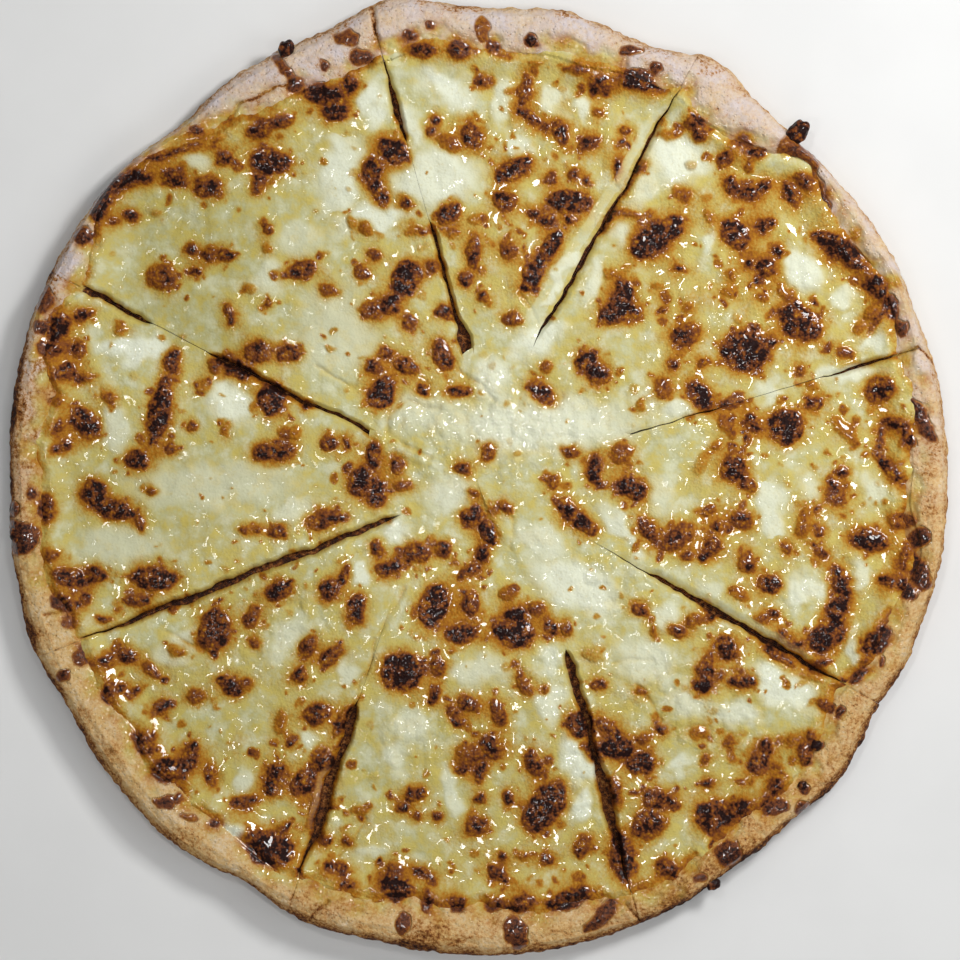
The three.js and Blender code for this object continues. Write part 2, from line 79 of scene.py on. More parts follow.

# ---------------------------------------------------------------------------
# Listed features
# ---------------------------------------------------------------------------

# Soft bumps round the outline, the cheese's edge and the rim's crest, and how far the cheese ran
# out over the rim: angle, width, height.
OUTLINE_BUMPS = (
    (20, 4, -0.9), (45, 8, -1.9), (60, 4, 3.6), (69, 4, -1.6), (80, 4, 1.8), (100, 6, 5.5),
    (130, 6, -3.2), (155, 9, 0.7), (180, 6, -1.4), (200, 4, 1.3), (210, 4, -0.9), (228, 6, 1.2),
    (240, 4, -2.2), (250, 4, 1.3), (275, 16, 2), (303, 5, -1.8), (312, 5, -2.2), (330, 6, -3.2),
    (342, 5, -1.2),
)
CHEESE_EDGE_BUMPS = (
    (335, 5, -2), (350, 5, 5), (10, 5, 2), (26, 8, 6), (43, 5, 8), (55, 6, -2.5), (82, 18, -2),
    (115, 11, -4.5), (140, 9, 8.5), (160, 6, 6), (180, 10, 2), (220, 14, -2), (243, 3, 3),
    (268, 16, -1.5), (295, 5, 5), (328, 4, -3),
)
CHEESE_RUNS = (
    (137, 11, 7), (97, 9, 4), (75, 7, 3), (62, 3, 3), (118, 5, 3), (163, 5, 2), (192, 5, 2),
    (222, 8, 3), (252, 7, 2.5), (280, 7, 3), (312, 6, 2), (12, 5, 3), (352, 6, -2), (336, 4, 2),
)
CREST_BUMPS = (
    (38, 6, -0.8), (75, 9, 0.7), (101, 6, 0.9), (128, 7, -1.2), (165, 8, 0.6), (196, 7, -0.7),
    (226, 6, 0.7), (252, 8, 0.8), (285, 9, -0.6), (318, 7, -0.9), (350, 8, 0.5),
)

# The rim's section, from the cheese's edge to the underside: share of the rim's width, height.
RIM_SECTION = ((0, 11.1), (0.3, 12.2), (0.55, 12.6), (0.78, 11.5), (0.93, 9), (1, 5.6))

# How far the melted centre reaches: angle, radius.
MELT_REACH = (
    (0, 38), (20, 53), (40, 45), (60, 42), (80, 47), (100, 40), (120, 39), (140, 42), (157, 38),
    (170, 26), (190, 22), (210, 26), (230, 18), (262, 14), (282, 16), (300, 37), (320, 43),
    (340, 35), (360, 38),
)

# The eight cuts. Each line has an angle and a shift to the left of the centre. Along it, by the
# distance from the centre: how wide the cheese gapes, then how wide the cheese's side slopes down
# on the slice to the line's right and on the slice to its left.
CUTS = (
    {"angle": -29.6, "shift": 0.95, "gape": (
        (40, 0, 1.2, 1.2), (48, 0.2, 1.2, 1.2), (63, 0.4, 1.4, 2), (68, 1.4, 1.4, 2.6),
        (95, 1.7, 1.6, 3), (120, 1.6, 1.6, 2.6), (127, 0.8, 1.4, 1.6), (134, 0.4, 1.2, 1.2))},
    {"angle": 16.6, "shift": -0.3, "gape": (
        (44, 0, 1, 1), (50, 0.4, 1, 1.2), (60, 0.3, 1, 1.2), (78, 0.4, 1, 1.4),
        (86, 0.1, 1, 2.6), (114, 0.2, 1.2, 2.6), (121, 0.7, 1.4, 1.6), (139, 0.8, 1.4, 1.4))},
    {"angle": 60.5, "shift": 5.2, "gape": (
        (46, 0, 1, 2.5), (56, 1, 1.6, 6.5), (72, 1.3, 2, 6.2), (90, 1.2, 2.2, 5),
        (110, 1, 2, 4.4), (126, 0.8, 1.8, 3.6), (140, 0.4, 1.4, 1.6))},
    {"angle": 105.9, "shift": -8, "gape": (
        (35, 0, 1, 1), (40, 2.4, 1, 1), (46, 4.2, 1.2, 1.2), (51, 1.8, 1.2, 1.2),
        (55, 0.8, 1.2, 1.2), (61, 0.9, 1.2, 1.2), (80, 0.8, 1.2, 1.2),
        (86, 0.08, 1, 1), (111, 0.08, 1, 1), (116, 1.5, 1.4, 1.4), (128, 1.9, 1.4, 1.4),
        (133, 0.7, 1.2, 1.2), (139, 0.3, 1, 1))},
    {"angle": 153.3, "shift": 2.2, "gape": (
        (14, 0, 1, 1), (28, 0.8, 1.2, 1.2), (64, 1.1, 1.4, 1.4), (92, 0.8, 1.4, 1.4),
        (97, 0.2, 1.2, 1.2), (116, 0.2, 1.2, 1.2), (121, 1.4, 1.6, 1.6), (147, 1.7, 1.6, 1.6))},
    {"angle": 201.45, "shift": 1.7, "gape": (
        (27, 0, 1, 1), (34, 1.7, 1.4, 1.4), (90, 2, 1.6, 1.6), (110, 1.7, 1.6, 1.6),
        (119, 1.4, 1.4, 1.4), (126, 0.6, 1.2, 1.2), (140, 0.4, 1, 1))},
    {"angle": 251.4, "shift": -13.4, "gape": (
        (42, 0, 1, 1), (60, 0.06, 1, 1), (80, 0.08, 1, 1), (83, 0.5, 1.2, 1.2), (87, 3, 1.6, 1.4),
        (95, 2.8, 2, 1.6), (101, 1.2, 2, 1.6), (107, 3, 2.6, 2), (118, 3.4, 2.6, 2),
        (125, 2.6, 2.4, 2), (131, 0.7, 1.4, 1.4), (143, 0.4, 1, 1))},
    {"angle": 285.1, "shift": 13.4, "gape": (
        (62, 0, 1, 1), (68, 3, 1.4, 1.4), (79, 2.6, 1.4, 1.4), (86, 1.2, 1.4, 1.4),
        (98, 1.4, 1.4, 1.4), (104, 3.2, 1.6, 1.6), (118, 3.4, 1.6, 1.6), (127, 0.6, 1.2, 1.2),
        (139, 0.4, 1, 1))},
)

# The browned blisters, slice by slice: x, y, length, width, turn, darkness. A short entry is
# round, unturned or nearly black-brown.
BLISTERS = (
    # Slice 1, at the right.
    (83, 4, 10, 8, 70), (87.5, -2, 6, 4, -60), (100, 17, 12, 12, 0, 1), (109, 24.5, 6, 4, 30),
    (89, 18, 7, 5, -50), (81, 17, 8, 5, -60, .65), (130, 28.5, 10, 9, 60),
    (119, 16, 12, 5, -45, .6), (135, 18, 9, 5, -20, 1), (139.5, 13, 6, 3, -60),
    (130.5, 13, 7, 3, 80, .8), (133, 3.5, 11, 4, -50, 1), (118, 2.5, 4, 4),
    (116, -5, 8, 7, 80, .8), (73, 5, 10, 4, 60, .5), (77, 11, 4, 3, 0, .6), (65, -19, 13, 7, 35),
    (76, -22, 7, 6, -60), (85, -13, 8, 6, -20), (75, -10, 5, 3, 30), (78, -15, 4, 3), (68, -25, 3),
    (73, -25.5, 3), (106, -14, 11, 6, 70, .55), (111, -17, 3), (111, -24, 5, 3, -40),
    (100, -22.5, 3), (127, -20, 13, 7, -10, 1), (137, -13.5, 9, 5, 0, .7),
    (143.5, -19, 5, 5, 0, .95), (138, -25, 9, 3, 75, .8), (87, -27, 7, 6, -40, .75),
    (94.5, -34, 7, 6, 0, 1), (85, -37, 7, 4, -35, .7), (92, -45, 5, 4, 0, .65), (96, -43.5, 4, 3),
    (117.5, -34, 12, 5.5, -75, 1), (116.5, -43, 10, 6, 80, 1), (112.5, -51, 12, 9, 35, 1),
    (132, -33, 5, 4), (138.5, -35, 8, 4, -50, 1), (129, -52, 11, 7, 55, 1), (130.5, -59, 4, 2, 60),
    (99, -50, 5, 3, -45), (103, -53.5, 5, 3), (112, -59.5, 5, 3, -15), (123, -63.5, 7, 3, 45, 1),
    (108, 30.5, 5, 3, 0, .6), (30, 9, 6, 3.5, -15), (38, 3, 10, 5, 85, 1), (47, 8, 8, 7, 0, .75),
    (50, -3, 11, 7, -30, 1), (24.5, -1, 5, 4.5, 90), (29, -10, 8, 6, -60, 1),
    (35, -15, 9, 5, -35, 1), (55, -16.5, 9, 5, -60),
    # Slice 2, at the upper right.
    (60, 80, 15, 9, 25, 1), (54, 75, 9, 8, 20, 1), (83.5, 79, 11, 9, -40), (93, 82.5, 5.5, 4.5),
    (97, 73.8, 4, 3.5), (93.5, 68, 6.5, 6), (87.5, 70, 3.5), (82, 66.5, 4, 3, 0, .6),
    (66, 92, 7, 5, -35, .7), (70, 115, 6, 5), (72, 111, 4, 4), (62, 111.5, 5, 4, 0, .6),
    (80, 103.5, 5, 4.5), (69, 101.5, 4, 4, 0, .4), (86.5, 107.5, 7, 4, -70, .8),
    (91, 105.5, 4, 3.5), (88, 101, 3.5, 3.5, 0, .7), (82, 95, 6, 5, -40), (88, 92, 8, 4.5),
    (93, 95, 6, 4, 45), (101.5, 91.5, 9, 5, -60), (105.5, 96, 7, 4, -50, .8),
    (117, 74, 20, 7, -32, 1), (128, 63, 7, 6, 0, 1), (132.5, 57, 12, 5, -65, 1),
    (127, 53, 6, 5, 0, .5), (105, 50, 14, 10, -25), (99.5, 54, 4), (86.5, 41.5, 15, 13, 0, 1),
    (94, 43.5, 5, 3, 20, 1), (67.5, 46.5, 10, 7, 20, .85), (47, 60, 9, 6, 80, 1),
    (44, 53.5, 11, 7, 20), (50, 54.5, 6, 5, -30), (60, 55, 3), (68, 55.5, 4, 4, 0, .6),
    (60, 29.5, 7, 6, 90, .8), (72, 27, 11, 7, -55, 1), (82.5, 24.5, 8, 4, 10), (72.5, 37.5, 3.5),
    (63.5, 37, 3), (53, 24, 4, 4, 0, .6), (39, 34, 9, 6, -30), (35, 38, 7, 6),
    (81, 60.5, 5, 4, 0, .5), (92, 58.5, 4, 4, 0, .7), (100, 60, 8, 4, -50, .6),
    (84.5, 52, 3, 3, 0, .4), (119, 40.5, 6, 4, -20, .8), (124, 48.5, 4, 4, 0, .6), (104.5, 35, 3),
    (75, 85, 6, 3, -70, .5), (46.5, 98, 10, 4, -75, 1), (52, 100.5, 6, 3, 30, .8),
    (41, 84, 7, 5, 30, 1), (49, 86, 10, 3, -10, .7), (43, 66.5, 5, 4, 0, .5),
    (65.5, 68, 4, 3, 0, .7), (58.5, 62, 3, 3, 0, .5), (21, 28, 11, 5, -35, .95),
    (22.5, 36.5, 4, 3.5, 0, .75),
    # Slice 3, at the top.
    (-2, 111.5, 9, 6, -65), (-9, 108.5, 8, 5, -30, .65), (-15, 112, 3), (-13.5, 116, 3),
    (2.5, 128.5, 5, 4, 0, .7), (15.5, 126, 10, 5, 75, .8), (17, 117, 8, 4, -35), (22, 113.5, 3),
    (27, 112, 8, 4, -80), (36, 108.5, 7, 4, 35), (39, 118.5, 4, 4, 0, .7), (40, 127.5, 9, 6),
    (32, 132, 9, 3, 0, .8), (52, 128.5, 13, 7, -20, 1), (57.5, 132.5, 3.5), (5, 139.5, 5, 3, -40),
    (-6, 138.5, 8, 6), (-17.5, 138, 9, 4.5), (9, 136.5, 5, 2, 0, .6), (19, 134, 5, 2, 0, .5),
    (12, 100, 13, 6, 30, .95), (9, 89.5, 8, 7), (18.5, 86, 5, 4), (22.5, 83.5, 5, 4),
    (30, 89.5, 15, 7, -5, 1), (30.5, 83.5, 3), (23.5, 97, 3.5), (31, 99, 3), (35.5, 96.5, 3),
    (-9, 86, 8, 6, 35), (-8, 79.5, 4, 4, 0, .6), (0, 84, 5, 4, 0, .5), (-1, 73, 10, 5, 90),
    (10, 74, 6, 6, 0, .8), (24, 75.5, 11, 6, 60, 1), (18, 66, 12, 6, 70, 1), (-4, 64.5, 4.5, 4),
    (2, 58.5, 5, 4, -50, .7), (11.5, 51.5, 6, 5, 0, .8), (48, 112.5, 3.5), (46.5, 108, 2.5),
    # Slice 4, at the upper left.
    (-49, 124, 13, 7, -10, 1), (-46, 118.5, 8, 6, 0, 1), (-41, 127, 6, 5, 60, 1),
    (-27, 106, 11, 8, -45, 1), (-34, 100, 8, 6, 90), (-32, 93, 10, 5, -60), (-23, 89, 4),
    (-67, 102.5, 13, 9, 0, .95), (-71, 95.5, 6, 4, 80), (-67, 114, 17, 4.5, 20), (-59, 127, 5, 4),
    (-37.5, 136, 7, 5), (-42, 142, 8, 5, 0, .8), (-81.5, 104, 6, 5), (-87, 94.5, 9, 7, -20),
    (-84, 109.5, 5, 3, 0, .5), (-90.5, 112.5, 4, 3), (-98, 97.5, 8, 7), (-99, 105, 18, 2, 20),
    (-112, 96.5, 14, 5, 10, 1), (-121, 89, 13, 5, 70, 1), (-112, 85, 5, 4, 0, 1),
    (-117.5, 83, 2.5), (-103.5, 86, 4, 3, 0, .5), (-127, 78.5, 7, 5), (-102, 65, 10, 9, 0, .8),
    (-92.5, 74, 4.5), (-87, 72.5, 5, 4), (-81, 72.5, 6, 5), (-91, 67, 4, 3), (-68, 81, 4),
    (-68.5, 74.5, 3.5, 3.5, 0, .6), (-57, 67.5, 12, 5, 15), (-48, 61, 6, 5, 0, .8),
    (-41, 83, 4, 4, 0, .5), (-36, 81, 5, 4, -30, .7), (-33, 72.5, 4.5, 4), (-37, 66.5, 5, 3.5),
    (-80, 53, 8, 3.5, -75), (-68, 57, 2.5), (-74, 61.5, 5, 4, 0, .5), (-71, 41.5, 8, 7),
    (-61, 40.5, 8, 6, 0, .95), (-23, 65, 12, 9, 60, 1), (-28, 56.5, 7, 6, 60, 1),
    (-34, 54.5, 7, 6, 0, .75), (-22, 50.5, 5, 4.5), (-20, 80, 8, 3, 0, .6), (-14, 69, 4.5, 4),
    (-11.5, 54, 5, 4), (-31, 28, 11, 9, 60, 1), (-29.5, 40.5, 5, 4), (-34, 36.5, 5, 4),
    (-23, 36.5, 8, 5, -20), (-11, 40, 11, 6, -70), (-17.5, 29, 4.5, 4, 0, 1), (-6, 28.5, 8, 4),
    # Slice 5, at the left.
    (-139.5, 58, 9, 6, 80, .8), (-134.5, 49, 9, 6, 80, 1), (-140.5, 49, 5, 4), (-138, 42, 8, 5),
    (-127, 53, 7, 4.5, 20), (-115, 48.5, 5, 4, 0, .6), (-129, 42, 6, 4.5), (-132.5, 34.5, 6, 6),
    (-126, 33, 5, 4, 0, .6), (-119, 26.5, 6, 4, -30, .7), (-136, 25, 5, 4, 0, .6),
    (-126.5, 18, 12, 8, -45, .95), (-135, 17, 3.5), (-133, 11, 5, 4), (-136, 9.5, 2, 2, 0, 1),
    (-98.5, 38, 8, 5, 80), (-102.5, 22, 22, 7, 78, 1), (-110, 6, 9, 6, 0, 1), (-99, 9.5, 5, 2.5),
    (-124, -4, 8, 8, 0, .95), (-118, -10, 14, 6, -10, .95), (-109, -14, 6, 3, -70),
    (-143.5, -5, 5, 4, 70), (-139, -10, 7, 5, 75), (-137.5, -24.5, 5, 4, 0, .8),
    (-131.5, -32, 12, 6, -15), (-123, -31, 6.5, 5.5, 0, 1), (-104.5, -32, 16, 8, -8, .95),
    (-134, -40, 7, 5, -30), (-126.5, -39, 4), (-110, -39.5, 9, 4, 5), (-131, -46, 6, 4, 0, .7),
    (-120, -45.5, 5, 3), (-75, -16.5, 2.5), (-71, -16.5, 2.5), (-64.5, -17, 6, 5, 0, .95),
    (-49, -13, 12, 6, 10), (-69, 8.5, 8, 5), (-62.5, 8.5, 8, 5, 10), (-60, 15, 8, 5, 0, .55),
    (-66.5, 26, 11, 9, 70, 1), (-77.5, 35.5, 10, 6, -35, 1), (-85, 36.5, 4.5, 4.5, 0, .75),
    (-88.5, 30.5, 6, 4, 0, .55), (-81, 16, 5, 3, 90, .65), (-92, 17, 3), (-105, -4, 3),
    (-55, 24, 3), (-37.5, -1, 11, 9, 60, .95), (-32, -5, 9, 6, 70, .95), (-33.5, 8, 9, 5, 90),
    (-26, 4.5, 6, 4.5, -60), (-24, -2.5, 6, 3, 0, .75), (-48, 11.5, 6, 5, 80),
    (-42, 12, 4, 2, -75, 1),
    # Slice 6, at the lower left.
    (-85, -49, 15, 11, 80), (-72.5, -44.5, 8, 5, 80, .8), (-64.5, -36, 8, 6, 30, 1),
    (-72, -53.5, 3), (-48, -36, 6, 6, 0, 1), (-43, -31, 6, 3, 80, 1), (-39, -42, 9.5, 6, 85, 1),
    (-54.5, -54, 8, 5, 50, .8), (-47, -57, 9, 4.5, 40), (-58, -64, 5, 4.5), (-52, -76, 9, 7, 30),
    (-63.5, -79, 8, 5, 90, .6), (-60, -85, 2.5), (-120, -59, 5, 4), (-113, -57, 6, 4.5, -40, 1),
    (-105.5, -62, 7, 4, -50, .75), (-97.5, -55.5, 6, 5, 0, .6), (-119, -68.5, 7, 3.5, 85, 1),
    (-115, -68, 3), (-110, -68, 3), (-102, -74, 6, 5, 70), (-91, -70.5, 6, 4, 0, .75),
    (-80, -67, 9, 5, -45, 1), (-75, -66, 6, 4, 0, .5), (-107.5, -85, 8, 5, -50),
    (-92.5, -89, 9, 5, 70), (-99.5, -94, 11, 8), (-86, -96, 7, 4, -75), (-100.5, -104, 7, 4),
    (-96, -103, 3), (-65.5, -95, 7, 5, 35, 1), (-67, -100, 5, 5), (-75.5, -104.5, 9, 5, 15),
    (-56.5, -98.5, 9, 7, 45), (-50, -91, 8, 6, 40), (-85, -111, 3, 2.5, 0, 1),
    (-93, -109, 5, 3, 0, .6), (-67, -119, 17, 11, -15, 1), (-62.5, -113, 4, 4, 0, .6),
    (-29, -29, 9, 5, 10), (-32.5, -22.5, 5, 4, 80), (-19.5, -24, 9, 7, 0, .85),
    (-11, -22.5, 5.5, 5), (-51, -105, 18, 5, 68, .7), (-43.5, -78, 11, 4, 66, .8),
    # Slice 7, at the bottom.
    (-24, -62, 14, 13, 0, 1), (-12.5, -60.5, 6, 5.5, 60), (-14, -70.5, 7, 4, 60),
    (-14, -41, 15, 9, 70, 1), (-2, -40, 8, 6.5, 90), (-5, -50, 11, 7, 10),
    (12, -50, 14, 9, -10, 1), (12, -44, 6, 5, 0, 1), (10, -37, 6, 5, 0, .7),
    (19, -42, 6, 5, 0, .75), (24, -48, 6, 4, -60), (29, -48.5, 4, 4, 0, .7),
    (15, -66, 9, 5, -70, .75), (22, -68, 2.5), (-8, -75, 5, 3.5), (-2.5, -73, 8, 5, -30),
    (-6, -79, 4, 3), (7, -75.5, 10, 5, -70), (5, -87, 9, 7, -40), (-3, -89, 8, 8, 0, .65),
    (-5, -94, 5, 3), (1, -95, 7, 4, 80), (18.5, -92, 9, 6, -70), (-20, -102, 7, 5, 20),
    (-24.5, -106.5, 4.5, 4), (-13, -109, 3), (-19, -109, 2.5), (1, -103.5, 4, 3.5),
    (10, -103, 6, 4, -60, 1), (0, -112, 7, 6), (22, -106, 19, 11, 55, .95), (34, -119, 7, 5, 60),
    (23, -123, 5, 3.5), (15, -122, 5, 4, 0, .6), (8, -122, 3), (47, -122, 16, 8, -80, .95),
    (30, -135.5, 15, 6, 20, 1), (7, -127.5, 9, 5, -35), (14, -137, 9, 5, 20), (5.5, -138, 5, 4),
    (-6.5, -137, 6, 5, 0, 1), (-27, -132, 10, 8, -30, 1), (-27, -126, 6, 4, 0, .7),
    (-17.5, -127.5, 7, 2.5, -30, 1), (-16, -137, 6, 4, 90), (-43.5, -126, 4.5, 4),
    (-42, -131, 5, 3.5), (-48, -125.5, 3), (-49, -117, 5, 3, 60), (-42, -117.5, 3),
    (-38, -107, 6, 4, 0, .6), (33, -79, 9, 8, 0, 1), (38, -88, 6, 5), (-4.5, 3.5, 6, 3.5, -35),
    (3.5, 8.5, 7, 4, 60), (13, 8, 3, 2.5, 0, .5), (-1, -4.5, 4, 3, 0, .8), (9, -9, 4.5, 4, 0, .85),
    (-1.5, -12, 9, 6, 50, .95), (3.5, -17, 8, 5, -70, .95), (2, -24, 7, 4, -80, .95),
    (-3, -30, 8, 4, 25),
    # Slice 8, at the lower right.
    (42.5, -80, 8, 5, -40), (45.5, -87, 10, 8, -20, 1), (53, -92, 9, 7, 20, 1),
    (54, -84, 5, 4, 0, .75), (39, -66.5, 6, 3.5, -10), (59.5, -80.5, 4, 3.5),
    (53, -69, 4, 3, 0, .7), (53, -42, 6, 4, -35), (65, -49, 6, 4.5, 0, .8),
    (56.5, -49.5, 3, 3, 0, .6), (70, -46, 5, 4, 70, .6), (75.5, -44, 3.5), (81, -55, 8, 7, -60, 1),
    (74, -62, 12, 5, 80, .85), (73, -66.5, 6, 5), (86, -65.5, 9, 4, 0, 1), (72, -82, 6, 5, 0, .6),
    (81.5, -85, 5, 4, 80, .75), (93, -86, 5, 5), (91, -92, 8, 6, 50), (74, -90.5, 3),
    (74.5, -98, 5, 3.5), (85, -98, 3, 2), (96.5, -99.5, 5, 5), (97, -93.5, 4, 2, 0, .6),
    (76, -109, 11, 10, 0, 1), (84.5, -106.5, 9, 5, 30, 1), (96, -106, 8, 5, 20),
    (105, -106.5, 5, 5), (81, -121, 9, 7, 50, 1), (61.5, -125.5, 8, 6, -10), (72, -128.5, 5, 2.5),
    (57.5, -103, 8, 7, 0, .85), (63, -104.5, 4, 3), (101, -84, 5, 3.5, 0, .6), (107.5, -83, 3.5),
    (106, -89, 7, 4, -70), (112.5, -73, 5, 4), (117, -75, 4, 3, 60, 1), (97, -57, 12, 3, -35),
    (108, -64, 8, 4, -25, .5), (38, -56.5, 7, 6, 0, .35), (44, -101, 9, 6, -70, .9),
    (55, -112, 10, 10, 0, .85),
)

# Burnt drops, spills, crumbs and toasted spots on the rim: x, y, length, width, turn, darkness.
RIM_SPOTS = (
    (105, 103, 12, 10, 0, .7), (108, 94, 12, 8, -60, .6), (112, 86, 12, 4.5, -80, .95),
    (-62, 132, 14, 3, -55, .75), (-49.5, 133.5, 2.5, 2.5, 0, 1), (17.5, 141.5, 4, 4, 0, 1),
    (50, 138, 7, 3.5, 0, .9), (1.5, 145, 8, 5, 90, .6), (-15.5, 146, 3.5, 3.5, 0, .8),
    (-21.5, 143, 5, 4, 0, .85), (-151, -9, 7, 5, 0, .95), (-147.5, -19, 12, 10, -30, .95),
    (12.5, -146.5, 11, 7, -70, .9), (40, -141, 14, 5, 45, .9), (-24, -143.5, 7, 4, 85, .9),
    (142.5, -19, 6, 5, 0, .85), (142, -29, 15, 5.5, -65, .95), (137.5, -36, 6, 4, -40, .95),
    (143.5, 19, 17, 5, -62, .95), (137, 48.5, 5.5, 4.5, -50, .9), (105.5, -99.5, 3, 3, 0, 1),
    (110, -86, 3.5, 3.5, 0, 1), (-133.5, -63.5, 4, 4, 0, .9), (-127, -57, 8, 6, 60, .8),
    (100, 108, 8, 5, 45, .6),
)

# Matte toasted blotches on the rim: x, y, length, width, turn, strength.
TOASTED_PATCHES = (
    (-46, -139, 12, 9, 0, 1), (-13, -147, 20, 7, 0, 1), (-57, -134, 6, 5, 0, .7),
    (-127, -77, 9, 6, -45, .8), (-118, -90, 10, 7, -50, .8), (-150, 22, 6, 10, 0, .8),
    (-147, 10, 6, 9, 0, .6), (-140, -50, 8, 7, 0, .7), (135, -62, 7, 10, 20, .6),
    (122, -88, 10, 7, 40, .7), (66, -136, 12, 7, 20, .7), (88, -121, 9, 6, 40, .6),
    (147, 5, 6, 12, 0, .7), (120, 97, 10, 7, -50, .6), (76, 131, 12, 6, -30, .7),
    (28, 151, 14, 5, 0, .7), (-5, 151, 14, 5, 0, .8), (-50, 146, 10, 5, 20, .7),
    (-90, 122, 12, 5, 40, .6), (-139, 66, 6, 9, 30, .6), (-92, -117, 12, 7, -35, .6),
)

# Dark drops that stand on the rim or stick out past it: x, y, length, width, turn, height.
BURNT_DROPS = (
    (103.6, 112, 9.5, 6, 50, 10.4), (-61.5, 139, 6, 5, 60, 11.2), (76.5, -131, 5, 4, 20, 8.5),
    (-149.5, -9.5, 5, 3.5, 80, 8.5), (-147.5, -19, 8, 5, -50, 10.6), (17.5, 141.5, 4, 4, 0, 11.8),
    (105, -99, 3, 3, 0, 11.4), (109.5, -86, 3.5, 3.5, 0, 11.4),
)

# Where the rim is browner or paler: angle, width, tone.
RIM_TOASTING = (
    (0, 20, .12), (40, 9, .05), (62, 14, .05), (122, 16, .10), (142, 8, .10), (168, 14, .22),
    (185, 8, .08), (225, 24, -.09), (300, 12, .16), (325, 12, .05),
)

# Cracks and creases in the rim: start x, y, end x, y, width.
RIM_CRACKS = (
    (133, 40, 142, 42, .8), (142, 42, 148, 37, .6), (-34, 152, -33, 140, .9),
    (-140, -44, -135, -43, .7), (-56, -143, -48, -136, .7), (48, -137, 53, -143, .7),
    (-83, 113, -77, 121, .8), (-77, 121, -65, 126, .8), (-65, 126, -60, 128, .7),
)

# Creases and thin seams in the cheese: start x, y, end x, y, width.
CREASES = (
    (-6, 35, 1, 31, .7), (1, 31, 5, 25, .7), (-29, 15, -28, 21, 1), (-28, 21, -22, 25, .8),
    (-22, 25, -12, 22, .8), (-24, -34, -31, -50, .8), (-32, -52, -38, -68, .8),
    (-56, -120, -60, -139, .7), (-15, 7, -25, 12, .9), (-36, -110, -44, -122, .6),
    (12, -12, 10, -22, .7), (52, -66, 60, -78, .9), (44, -60, 56, -58, .8), (-52, 36, -40, 30, .8),
    (-100, -50, -88, -56, .8), (20, 50, 14, 60, .7),
)

# Whitish cheese: x, y, length, width, turn, strength.
WHITE_PATCHES = (
    (20, 17, 58, 18, 0, .8), (5, 33, 12, 15, 0, .8), (19, 45, 15, 10, 40, .9),
    (-18, 22, 22, 12, 0, .5), (-45, 48, 24, 28, 0, .5), (-44, 99, 13, 26, -8, 1),
    (-34, 122, 7, 13, 0, 1), (-14, 97, 28, 16, 0, .9), (-33, 85, 24, 9, 15, 1),
    (-10, 127, 18, 11, -25, 1), (-21, 115, 5, 14, 20, .8), (14, 108, 8, 9, 0, .8),
    (8, 123, 6, 13, 0, .7), (25, 122, 7, 12, 0, .7), (34, 119, 6, 7, 0, .8),
    (-56, 78, 16, 10, 0, .5), (-68, 65, 12, 8, 20, .7), (65, 104, 18, 15, 0, 1),
    (54, 95, 7, 13, -20, .6), (105, 68, 9, 15, 30, .9), (118, 58, 8, 6, 0, .7),
    (46, 80, 7, 11, 0, .7), (76, 76, 4, 10, 0, .7), (127, 44, 7, 5, 40, .8),
    (119, 33, 22, 6, 4, .8), (38, 65, 5, 14, -12, .7), (55, 26, 13, 9, 0, .6),
    (66, 22, 11, 7, 0, .8), (95, 28, 8, 6, 0, .7), (-111, 42, 22, 8, 0, 1),
    (-80, 25, 18, 12, -30, .9), (-118, 17, 6, 18, 0, .7), (-86, -2, 50, 14, 0, .5),
    (-116, -22, 30, 12, 0, .5), (-60, -10, 15, 7, 20, .6), (-27, -17, 8, 7, 0, .9),
    (-38, -30, 5, 8, 0, .9), (-10, -5, 13, 12, 0, .7), (20, -20, 16, 9, -20, .7),
    (31, -34, 30, 14, -25, .9), (47, -17, 20, 5, -60, .8), (60, -4, 10, 12, 0, .5),
    (75, -35, 8, 6, 0, .5), (95, -9, 7, 30, 5, .8), (108, -3, 8, 8, 0, .6),
    (128, -3, 9, 10, 0, .6), (106, -35, 13, 9, -30, .8), (123, -33, 5, 16, -10, .6),
    (122, -55, 4, 13, -5, .8), (61, -45, 14, 7, -20, .7), (54, -59, 20, 13, -30, .7),
    (68, -70, 14, 13, 0, .7), (98, -67, 24, 10, -22, 1), (84, -77, 16, 7, 0, .8),
    (66, -93, 8, 6, 0, .8), (33, -90, 10, 15, 30, 1), (34, -105, 7, 11, 0, 1),
    (22, -58, 8, 9, 0, .7), (0, -62, 20, 9, 0, .6), (23, -72, 9, 12, 0, .8),
    (-9, -101, 6, 18, 15, .7), (-21, -80, 13, 9, 0, .7), (-27, -89, 11, 10, 0, .7),
    (-55, -85, 7, 7, 0, .7), (-42, -62, 7, 8, 0, .7), (-62, -52, 16, 9, 40, .7),
    (-95, -54, 20, 8, 20, .7), (-76, -99, 5, 9, 0, .7), (-78, -114, 7, 10, 30, 1),
    (-36, -121, 12, 5, 0, .6), (-93, 101, 13, 6, 0, .7), (27, 66, 5, 28, -24, .8),
)

# Broad golden areas: x, y, length, width, turn, strength.
GOLDEN_AREAS = (
    (88, 62, 100, 66, 0, 1), (58, 34, 50, 30, 0, .6), (22, 112, 66, 34, 0, .8),
    (8, 74, 34, 38, 0, .7), (104, -8, 70, 50, 0, .7), (126, -46, 26, 34, 0, .7),
    (62, -12, 30, 22, 0, .5), (-74, -94, 70, 34, -35, .8), (-104, -70, 40, 26, -40, .6),
    (0, -122, 110, 30, 0, .8), (6, -46, 60, 20, 0, .6), (88, -98, 60, 32, 20, .8),
    (-132, 20, 22, 90, 0, .6), (-30, 52, 34, 30, 0, .5), (-32, 96, 26, 40, 0, .6),
    (-62, 102, 40, 18, 20, .6), (-70, -60, 110, 90, -20, .35), (0, -90, 100, 80, 0, .35),
    (75, -75, 90, 80, 0, .3), (-90, 5, 90, 60, 0, .25),
)
